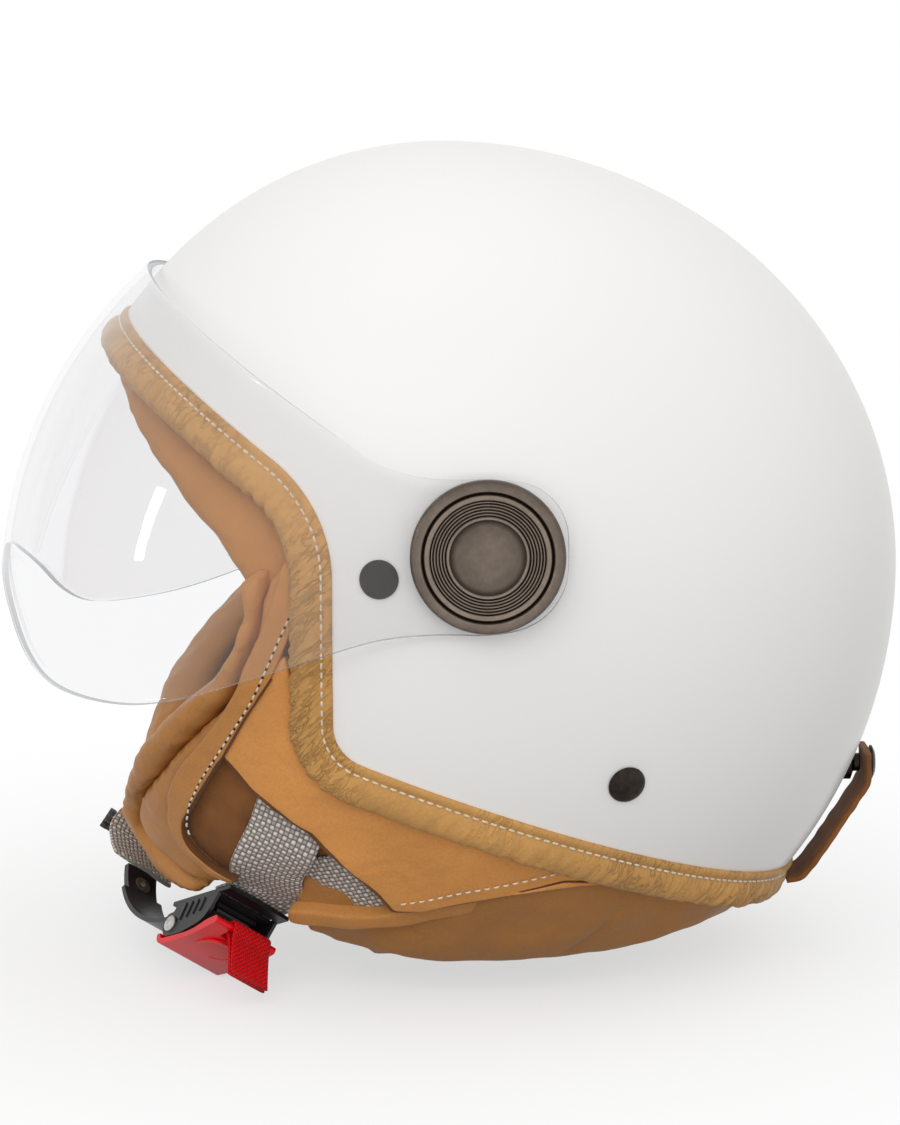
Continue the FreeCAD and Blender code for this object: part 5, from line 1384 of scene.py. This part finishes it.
def make_goggle_loop():
    """A leather strap on the middle plane, from the nape up to its press stud."""
    stations = [((0.0, y, z), (1.0, 0.0, 0.0)) for y, z in LOOP_PATH]
    piece = ribbon("goggle_strap", stations, *mm("helmet_straps", "loop_width", "loop_thick"))
    roughen(piece, height=0.2, wave=7.0, seed=51)
    dress(piece, "suede", "goggle_loop", "liner_leather", "goggle_strap")


# ---------------------------------------------------------------- visor and pivots

# Height of the line across the helmet about which the visor's section is turned.
VISOR_AXIS = -10.0
VISOR_WALL = 2.2
# Half width of the flats, and the radius about the axis at which each part of the section ends.
VISOR_HALF_WIDTH = 121.5
VISOR_FLAT_END = 48.0
VISOR_SHOULDER_END = 103.5
VISOR_REACH = 153.3
# Radii of the section's two arcs; the front one is centred on the middle plane.
VISOR_SHOULDER = 90.0
VISOR_FRONT = 130.0
# Slope of the upper edge from the brow forwards.
VISOR_RISE = np.tan(np.radians(33.0))
# Side-view places of the two edges, from the lug's back end forwards.
VISOR_TOP = [
    (40.2, 27), (39.5, 34), (35.5, 41.5), (28, 46.5), (18, 48), (4, 48), (-8, 49), (-20, 53),
]
# The straight rise: the bend at its foot, and the y of the places on it.
VISOR_BEND = (-12.4, 48.0)
VISOR_RISE_Y = (-34.0, -60.0, -85.0, -95.0)
VISOR_LOW = [
    (40.2, 21), (39, 13.5), (34, 5.5), (26, 0.5), (15, -1.5), (0, -1.5), (-14, -2.4), (-28, -5.5),
    (-62, -16.6), (-84, -24), (-102, -28), (-120, -28.5), (-132, -26), (-140, -19), (-146.5, -7.5),
    (-150.6, 1), (-152.9, 9),
]


def visor_half_width(r):
    """Half width of the visor at a radius: flat, then a shoulder arc, then the front arc."""
    out = np.clip(r - VISOR_FLAT_END, 0, VISOR_SHOULDER)
    shoulder = VISOR_HALF_WIDTH - VISOR_SHOULDER + np.sqrt(VISOR_SHOULDER**2 - out**2)
    front_centre = VISOR_REACH - VISOR_FRONT
    front = np.sqrt(np.clip(VISOR_FRONT**2 - (r - front_centre) ** 2, 0, None))
    curved = np.where(r < VISOR_SHOULDER_END, shoulder, front)
    return np.where(r < VISOR_FLAT_END, VISOR_HALF_WIDTH, curved)


def visor_top_edge():
    """The upper edge: points to the brow, then a straight rise that ends at the full reach."""
    line = [(y, VISOR_BEND[1] + (VISOR_BEND[0] - y) * VISOR_RISE) for y in VISOR_RISE_Y]
    step = np.array([-1.0, VISOR_RISE]) / np.hypot(1.0, VISOR_RISE)
    last = np.array(line[-1]) - (0.0, VISOR_AXIS)
    along = last @ step
    ahead = np.sqrt(along**2 + VISOR_REACH**2 - last @ last) - along
    tip = last + step * ahead + (0.0, VISOR_AXIS)
    return smooth_path([*VISOR_TOP, *line, tip], 500)


def visor_edge(path, shares):
    """Radius, turn, y and z from the axis at shares of an edge's length, as columns."""
    y, z = path[:, 0], path[:, 1] - VISOR_AXIS
    radius, turn = np.minimum(np.hypot(y, z), VISOR_REACH), np.unwrap(np.arctan2(z, -y))
    along = np.linspace(0, 1, len(path))
    return [np.interp(shares, along, k)[:, None] for k in (radius, turn, y, z)]


def make_visor():
    """Sheet between its two edges: straight across at the lug, turned about the axis in front.

    Each place's half width follows from its distance to the axis, and the left half is
    mirrored past the middle plane.
    """
    shares = 1.0 - (1.0 - np.linspace(0, 1, 150)) ** 1.7
    low, top = visor_edge(smooth_path(VISOR_LOW, 500), shares), visor_edge(visor_top_edge(), shares)
    v = np.linspace(0, 1, 56)[None, :]
    r, turn, y, z = (a * (1 - v) + b * v for a, b in zip(low, top))
    rounded = np.clip((low[0] - 60.0) / 50.0, 0.0, 1.0)
    y = y * (1 - rounded) - r * np.cos(turn) * rounded
    z = z * (1 - rounded) + r * np.sin(turn) * rounded
    p = np.stack([visor_half_width(np.hypot(y, z)), y, VISOR_AXIS + z], axis=-1)
    p[-1, :, 0] = 0.0
    piece = grid_object("visor_sheet", np.concatenate([p, p[:-1][::-1] * FLIP]))
    piece.data.materials.append(finish_named("clear"))
    piece.data.materials.append(finish_named("clear_edge"))
    thickened(piece, VISOR_WALL, edge=1)
    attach(piece, "visor_shield")
    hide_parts("visor")


# Rows of the disc's section: radius, height over its base and share of dark patina.
DISC_SECTION = [
    (0.0, 3.3, 0.3), (6.0, 3.25, 0.35), (10.0, 3.0, 0.5), (11.6, 2.8, 0.9), (12.0, 2.9, 0.9),
    (12.2, 3.8, 0.0), (12.6, 4.0, 0.0), (13.0, 3.8, 0.1), (13.2, 2.9, 0.9),
]
# One fine ring of the disc, from the radius at which the rings start.
DISC_RING = [(0.0, 2.9, 1.0), (0.22, 3.35, 0.35), (0.45, 3.5, 0.1), (0.68, 3.35, 0.35), (0.9, 2.9, 1.0)]
DISC_RINGS_START = 13.35
DISC_RING_PITCH = 0.98
DISC_RINGS = 5
DISC_RIM = [
    (18.1, 2.9, 1.0), (18.3, 3.8, 0.2), (18.8, 4.2, 0.0), (19.6, 4.2, 0.0), (20.1, 3.8, 0.2),
    (20.3, 2.4, 1.0), (20.6, 2.4, 1.0), (20.8, 3.6, 0.3), (21.3, 4.2, 0.2), (22.3, 4.4, 0.3),
    (23.3, 4.2, 0.4), (24.1, 3.5, 0.35), (24.5, 2.5, 0.2), (24.5, 0.5, 0.4), (24.0, 0.0, 0.6),
    (3.0, 0.0, 1.0), (3.0, -19.0, 1.0), (0.0, -19.0, 1.0),
]
DISC_THICK = 4.4
# Rows at the end of the rim that belong to the screw behind the disc.
DISC_SCREW_ROWS = 3


def disc_section():
    """Section of the pivot disc: mottled medallion, a bead, fine turned rings and a broad rim."""
    rows = list(DISC_SECTION)
    for k in range(DISC_RINGS):
        start = DISC_RINGS_START + DISC_RING_PITCH * k
        rows += [(start + r, height, dark) for r, height, dark in DISC_RING]
    return np.array(rows + DISC_RIM)


def make_knobs():
    """The disc's section turned about the pivot, with its patina by radius as an attribute."""
    low, high = (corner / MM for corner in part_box("left_pivot_knob"))
    pivot = (low + high) / 2
    base = high.x - DISC_THICK
    rows = disc_section()
    for side, name in ((1.0, "left"), (-1.0, "right")):
        centre = (side * base, pivot.y, pivot.z)
        knob = turned(name + "_pivot_disc", rows[:, :2], centre, (side, 0.0, 0.0), 128)
        p = points_of(knob)
        r = np.hypot(p[:, 1] - pivot.y, p[:, 2] - pivot.z)
        face = rows[:-DISC_SCREW_ROWS]
        dark = np.where(np.abs(p[:, 0]) > base + 0.1, np.interp(r, face[:, 0], face[:, 2]), 0.5)
        layer = knob.data.attributes.new("patina", "FLOAT", "POINT")
        layer.data.foreach_set("value", dark.astype(np.float32))
        dress(knob, "antique", name + "_knob", "antique_metal", name + "_pivot_knob")


# Section of a rivet's domed cap and shank: radius and height over the shell.
RIVET_SECTION = [
    (0.0, 2.3), (1.5, 2.25), (3.2, 2.1), (4.6, 1.75), (5.6, 1.25), (6.1, 0.75), (6.3, 0.3),
    (6.1, 0.05), (2.3, 0.0), (2.3, -12.0), (0.0, -12.0),
]


def make_rivets():
    """The rivet's section turned about the form's normal at each of the four places."""
    made = []
    for y, z in RIVETS:
        spot = on_form(y, z)
        for flip in (np.ones(3), FLIP):
            made.append(turned("rivet", RIVET_SECTION, spot * flip, form_normal(spot) * flip, 64))
    dress(joined("strap_rivets", made), "gunmetal", "helmet", "dark_metal", "strap_rivets")


# ---------------------------------------------------------------- straps and buckle

# The buckle's pin, and its directions to the webbing, across the strap and to the chin.
BUCKLE_PLACE = np.array([50.7, -82.5, -121.4])
BUCKLE_LONG = np.array([0.65562, 0.65562, 0.37461])
BUCKLE_WIDE = np.array([-0.40531, 0.72413, -0.55799])
BUCKLE_HIGH = np.cross(BUCKLE_LONG, BUCKLE_WIDE)


def in_buckle(x, y, z):
    """Place given by its distances along the buckle's three directions."""
    return BUCKLE_PLACE + BUCKLE_LONG * x + BUCKLE_WIDE * y + BUCKLE_HIGH * z


def hidden_stations(places, depth):
    """Stations of the webbing where it lies between the shell and the liner."""
    spots = on_form(*np.array(places, float).T, depth)
    ahead = np.gradient(spots, axis=0)
    across = np.cross(ahead, form_normal(spots))
    return [(s, a / np.linalg.norm(a)) for s, a in zip(spots, across)]


def aligned(stations):
    """Stations whose directions across don't turn over from one to the next."""
    out = [stations[0]]
    for place, across in stations[1:]:
        across = np.asarray(across, float)
        if across @ out[-1][1] < 0:
            across = -across
        out.append((np.asarray(place, float), across))
    return out


# Side-view places of the webbing's hidden runs, from the rivets down.
FRONT_RUN = [(-16, 27), (-19.6, 15.5), (-31, -18), (-42, -48), (-48, -64)]
BACK_RUN = [(71, -48), (59.9, -54.3), (34, -66), (8, -77), (-18, -88), (-38.5, -94.5), (-52, -98)]
# Depths of the runs, between shell and foam and then behind the flap.
WEB_DEPTH = 8.8
BACK_DEPTHS = np.array([WEB_DEPTH] * 5 + [10.4, 13.5])
# Where the front run comes out: the middle place is used, the others give its direction.
FRONT_EXIT = [(-48, -64), (-52.5, -77), (-57, -90)]
FRONT_EXIT_DEPTH = 5.5
# The webbing in the open, each place with the direction across it.
LEFT_OPEN_RUN = [
    ((80.0, -57.5, -88.0), (-0.15, 0.9, -0.4)),
    ((74.0, -58.5, -93.5), (-0.3, 0.82, -0.5)),
    (in_buckle(33.0, 0.0, 11.3), BUCKLE_WIDE),
    (in_buckle(20.0, 0.0, 9.9), BUCKLE_WIDE),
]
SLIDER_PLACE = np.array([-33.0, -109.5, -106.5])
SLIDER_ACROSS = np.array([-0.1, 0.85, -0.5])
RIGHT_OPEN_RUN = [
    ((-6.0, -107.0, -111.5), BUCKLE_WIDE),
    ((-20.0, -109.0, -110.0), (-0.3, 0.8, -0.5)),
    (SLIDER_PLACE, SLIDER_ACROSS),
    ((-52.0, -102.0, -102.5), (0.1, 0.87, -0.5)),
    ((-72.0, -88.0, -94.0), (0.25, 0.87, -0.45)),
    ((-86.0, -68.0, -85.0), (0.3, 0.87, -0.4)),
    ((-89.5, -54.0, -76.0), (0.25, 0.9, -0.35)),
]


def make_straps():
    """Four legs of webbing from the rivets: two end in the buckle, one at the slider."""
    width, thick = mm("helmet_straps", "width", "thick")
    front = hidden_stations(FRONT_RUN, WEB_DEPTH)
    out = hidden_stations(FRONT_EXIT, FRONT_EXIT_DEPTH)[1:2]
    strap = ribbon("left_front_strap", aligned(front + out + LEFT_OPEN_RUN), width, thick, 240)
    dress(strap, "webbing", "helmet", "webbing", "left_front_strap")
    strap = ribbon("left_back_strap", aligned(hidden_stations(BACK_RUN, BACK_DEPTHS)), width, thick, 200)
    other = mirror_of(strap, "right_back_strap")
    dress(strap, "webbing", "helmet", "webbing", "left_back_strap")
    dress(other, "webbing", "helmet", "webbing", "right_back_strap")
    behind = [(spot * FLIP, across * FLIP) for spot, across in reversed(front)]
    strap = ribbon("right_front_strap", aligned(RIGHT_OPEN_RUN + behind), width, thick, 320)
    strap.data.materials.append(finish_named("webbing"))
    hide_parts("right_front_strap")
    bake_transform(strap)


# Length, width and thickness of the slider, its bars' width and its lift off the webbing.
SLIDER_SIZE = (11.0, 30.0, 2.4)
SLIDER_BAR = 2.6
SLIDER_WINDOWS = 2
SLIDER_LIFT = 1.6
# The webbing's direction at the slider.
SLIDER_ALONG = np.array([-32.0, 7.0, 7.5])


def make_slider():
    """A flat ladder frame on the webbing: two long sides and the bars between its windows."""
    long, width, thick = SLIDER_SIZE
    along = SLIDER_ALONG / np.linalg.norm(SLIDER_ALONG)
    across = SLIDER_ACROSS - along * (along @ SLIDER_ACROSS)
    across /= np.linalg.norm(across)
    high = np.cross(along, across)
    middle = SLIDER_PLACE - high * np.sign(high[2]) * SLIDER_LIFT
    stops = (np.arange(SLIDER_WINDOWS + 1) / SLIDER_WINDOWS - 0.5) * (long - SLIDER_BAR)
    rods = [(middle + along * stop, across * width / 2) for stop in stops]
    aside = across * (width - SLIDER_BAR) / 2
    rods += [(middle - aside, along * long / 2), (middle + aside, along * long / 2)]
    made = []
    for place, reach in rods:
        side = np.cross(high, reach / np.linalg.norm(reach))
        ends = (place - reach, place, place + reach)
        made.append(ribbon("rod", [(end, side) for end in ends], SLIDER_BAR, thick, 12))
    dress(joined("slider_frame", made), "black", "strap_tongue", "black_metal", "strap_slider")


# The lever's bar, the radius of the tape's turn round it, and the tape's two hanging layers.
TAPE_BAR = in_buckle(25.8, 2.0, -3.1)
TAPE_TURN = 2.2
TAPE_BEHIND = [(19.0, -0.75), (12.0, -0.8), (5.0, -1.1)]
TAPE_AHEAD = [(5.0, 1.1), (12.0, 0.8), (19.0, 0.75)]


def make_tab():
    """Two layers of red tape: round the lever's bar, then down side by side."""
    down = BUCKLE_LONG * 0.34 - BUCKLE_HIGH * 0.94
    out = np.cross(down, BUCKLE_WIDE)
    turn = np.radians(np.arange(-60.0, -301.0, -60.0))
    path = TAPE_BEHIND + list(zip(TAPE_TURN * np.cos(turn), TAPE_TURN * np.sin(turn))) + TAPE_AHEAD
    stations = [(TAPE_BAR + down * x + out * y, BUCKLE_WIDE) for x, y in path]
    tab = ribbon("pull_tab", stations, *mm("helmet_straps", "tape_width", "tape_thick"))
    dress(tab, "red_tape", "tab", "red_fabric", "pull_tab")


# Radius and middle of the lever's arc, in the buckle's directions.
ARC_RADIUS = 7.2
ARC_CENTRE = (12.5, -1.0, -6.7)
# The ribs start at this distance from the pin, on the near ear's face across the buckle.
RIB_START = 4.5
RIB_SIDE = -13.1
RIB_COUNT = 4
RIB_PITCH = 3.4


def make_mouldings():
    """Raised arc on the lever's cover and short slanted ribs on the buckle's near ear."""
    arc = []
    x, y, z = ARC_CENTRE
    for turn in np.radians(np.linspace(-70.0, 190.0, 9)):
        place = in_buckle(x + ARC_RADIUS * np.sin(turn), y + ARC_RADIUS * np.cos(turn), z)
        arc.append((place, BUCKLE_LONG * np.sin(turn) + BUCKLE_WIDE * np.cos(turn)))
    dress(ribbon("lever_arc", arc, 1.3, 0.9, 90, 16), "red_plastic", "lever", "red_plastic")
    ribs = []
    for k in range(RIB_COUNT):
        x = RIB_START + RIB_PITCH * k
        places = [(x, 0.6 + 0.5 * k), (x + 0.9, 3.4), (x + 1.8, 6.6)]
        stations = [(in_buckle(along, RIB_SIDE, up), BUCKLE_LONG) for along, up in places]
        ribs.append(ribbon("rib", stations, 1.1, 0.8, 16, 12))
    dress(joined("ear_ribs", ribs), "black", "helmet", "black_metal")


NODE_FINISHES = {
    "foam_liner": "foam",
    "left_pivot_base": "black", "right_pivot_base": "black",
    "left_insert_nut": "steel", "right_insert_nut": "steel", "strap_washers": "steel",
    "buckle_housing": "black", "buckle_pin": "steel", "buckle_lever": "red_plastic",
    "lever_spring": "steel", "toothed_strip": "black", "strip_eyelet": "steel",
    "goggle_snap": "gunmetal", "goggle_stud": "gunmetal",
}


def make_hardware():
    """Finishes of the solids that are shown as they are."""
    for node, finish in NODE_FINISHES.items():
        refinish(node, finish)


# ---------------------------------------------------------------- stage

# Name, place and size in metres, power in watts, and whether gloss mirrors the lamp. The slim
# one in front draws the bright line on the visor.
LAMPS = [
    ("key", (1.6, -0.3, 1.15), (1.8, 0.9), 8.0, "#FFFDFA", False),
    ("top", (0.1, 0.2, 1.9), (2.4, 1.2), 4.0, "#FFFFFF", False),
    ("side", (1.9, 0.2, -0.02), (1.6, 0.8), 13.0, "#FFFFFF", False),
    ("front", (0.5, -1.7, 0.4), (0.09, 0.45), 1.6, "#FFFFFF", True),
]
LAMP_TARGET = np.array([0.0, 0.0, -0.02])
CAMERA_TARGET = np.array([0.0, 2.8, 0.5]) * MM
# Half side of the floor in metres, and its drop below the helmet in millimetres.
FLOOR_HALF = 4.0
FLOOR_DROP = 0.5
# Share of light that white paper gives back, and what it may throw back at the helmet.
PAPER = 0.9
PAPER_BOUNCE = 0.3
WORLD_LIGHT = 0.7


def placed(item, place, way):
    """Put a lamp or the camera at a place, facing a way."""
    bpy.context.scene.collection.objects.link(item)
    item.location = place
    item.rotation_euler = Vector(way).to_track_quat("-Z", "Y").to_euler()
    return item


def area_light(name, place, size, power, tint, mirrored):
    """A rectangular lamp that faces the helmet."""
    lamp = bpy.data.lights.new(name, "AREA")
    lamp.shape = "RECTANGLE"
    lamp.size, lamp.size_y = size
    lamp.energy = power * bpy.context.scene.helmet_stage.light
    lamp.color = rgb(tint)
    item = placed(bpy.data.objects.new(name, lamp), place, LAMP_TARGET - np.array(place))
    item.visible_glossy = mirrored
    return item


def seen_directly(tree):
    """1 for what the eye, a mirror or glass sees, 0 for light that falls on the object."""
    path = add(tree, "ShaderNodeLightPath").outputs
    mirror = add(
        tree, "ShaderNodeMath", {"operation": "ADD"}, _0=path["Is Camera Ray"], _1=path["Is Glossy Ray"]
    )
    return add(
        tree, "ShaderNodeMath", {"operation": "ADD", "use_clamp": True},
        _0=mirror, _1=path["Is Transmission Ray"],
    )


def paper():
    """White paper that glows to pure white away from the helmet and keeps the shadow under it."""
    made, tree = material("pale_paper")
    sheet = add(tree, "ShaderNodeBsdfDiffuse", values={"Color": grey(PAPER)})
    dull = add(tree, "ShaderNodeBsdfDiffuse", values={"Color": grey(PAPER_BOUNCE)})
    place = add(tree, "ShaderNodeTexCoord").outputs["Object"]
    reach = add(tree, "ShaderNodeVectorMath", {"operation": "LENGTH"}, _0=place)
    glow = add(
        tree, "ShaderNodeMapRange", {"interpolation_type": "SMOOTHSTEP"},
        {"From Min": 0.08, "From Max": 0.4, "To Min": 0.55, "To Max": 1.0}, Value=reach.outputs["Value"],
    )
    light = add(tree, "ShaderNodeEmission", values={"Color": grey(1.0), "Strength": 1.0})
    lit = add(tree, "ShaderNodeMixShader", _0=glow, _1=sheet, _2=light)
    both = add(tree, "ShaderNodeMixShader", _0=seen_directly(tree), _1=dull, _2=lit)
    add(tree, "ShaderNodeOutputMaterial", Surface=both)
    return made


def make_world():
    """A white studio: white to the eye, and a plain even light on the helmet."""
    world = bpy.data.worlds.new("studio")
    world.use_nodes = True
    tree = world.node_tree
    tree.nodes.clear()
    seen = add(tree, "ShaderNodeBackground", values={"Color": grey(1.0), "Strength": 1.0})
    lit = add(tree, "ShaderNodeBackground", values={"Color": grey(1.0), "Strength": WORLD_LIGHT})
    both = add(tree, "ShaderNodeMixShader", _0=seen_directly(tree), _1=lit, _2=seen)
    add(tree, "ShaderNodeOutputWorld", Surface=both)
    bpy.context.scene.world = world


def make_camera():
    """The camera on a circle about the helmet: azimuth about Z, then elevation."""
    setup = bpy.context.scene.helmet_stage
    azimuth, elevation = np.radians(setup.azimuth), np.radians(setup.elevation)
    back = np.array([np.sin(azimuth), -np.cos(azimuth), 0.0]) * np.cos(elevation)
    back[2] = np.sin(elevation)
    view = bpy.data.cameras.new("camera")
    view.lens = setup.lens
    view.sensor_width = 36.0
    camera = bpy.data.objects.new("camera", view)
    return placed(camera, CAMERA_TARGET + back * setup.distance, -back)


def make_stage():
    """Floor just below the helmet, lamps, background and camera."""
    low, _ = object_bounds()
    corners = np.array([(-1, -1, 0), (1, -1, 0), (1, 1, 0), (-1, 1, 0)]) * FLOOR_HALF / MM
    floor = new_object("floor", corners + (0, 0, low[2] / MM - FLOOR_DROP), [(0, 1, 2, 3)])
    floor.data.materials.append(paper())
    lamps = [area_light(*lamp) for lamp in LAMPS]
    make_world()
    camera = make_camera()
    scene = bpy.context.scene
    scene.camera = camera
    scene.view_settings.view_transform = "Standard"
    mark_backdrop(floor, camera, *lamps)


# ---------------------------------------------------------------- add-on


def operator(key, label, words, action):
    """An operator that runs one maker."""

    def execute(self, context):
        action()
        return {"FINISHED"}

    return type(
        "HELMET_OT_" + key,
        (Operator,),
        {"bl_idname": "helmet." + key, "bl_label": label, "__doc__": words, "execute": execute},
    )


STEPS = [
    ("shell", "Shell", "Lacquered shell", make_shell),
    ("edging", "Edging", "Padded leather edging and its stitches", make_edging),
    ("crown", "Crown lining", "Quilted lining inside the crown", make_crown),
    ("brow", "Brow liner", "Stuffed leather brow liner", make_brow),
    ("cheeks", "Cheek pads", "Front rolls, panels, hems and suede of both cheeks", make_cheeks),
    ("flaps", "Ear flaps", "Leather ear flaps", make_flaps),
    ("neck", "Neck roll", "Stuffed neck roll and its bands", make_neck),
    ("goggle", "Goggle strap", "Leather loop at the back", make_goggle_loop),
    ("visor", "Visor", "Clear visor sheet", make_visor),
    ("knobs", "Pivot discs", "Turned metal discs on the visor's pivots", make_knobs),
    ("rivets", "Rivets", "Caps of the strap rivets", make_rivets),
    ("straps", "Straps", "Woven chin straps", make_straps),
    ("slider", "Slider", "Ladder slider on the far strap", make_slider),
    ("tab", "Pull tab", "Red tape on the lever", make_tab),
    ("mouldings", "Mouldings", "Ribs on the buckle's ear and the lever's raised arc", make_mouldings),
    ("hardware", "Hardware", "Finishes of the small hardware", make_hardware),
    ("stage", "Stage", "Floor, lamps, background and camera", make_stage),
]
OPERATORS = [operator(*step) for step in STEPS]


class HELMET_PT_panel(Panel):
    """Lists the helmet's pieces"""

    bl_label = "Helmet"
    bl_space_type = "VIEW_3D"
    bl_region_type = "UI"
    bl_category = "Helmet"

    def draw(self, context):
        for made in OPERATORS:
            self.layout.operator(made.bl_idname)


GROUPS = {
    "helmet_form": FormSizes,
    "helmet_leather": LeatherSizes,
    "helmet_straps": StrapSizes,
    "helmet_colours": FinishColours,
    "helmet_stage": StageSetup,
}
CLASSES = [*GROUPS.values(), *OPERATORS, HELMET_PT_panel]


def register():
    for item in CLASSES:
        bpy.utils.register_class(item)
    for name, group in GROUPS.items():
        setattr(bpy.types.Scene, name, PointerProperty(type=group))


def unregister():
    for name in GROUPS:
        delattr(bpy.types.Scene, name)
    for item in reversed(CLASSES):
        bpy.utils.unregister_class(item)


def main():
    register()
    for key, *_ in STEPS:
        getattr(bpy.ops.helmet, key)()


if __name__ == "__main__":
    main()
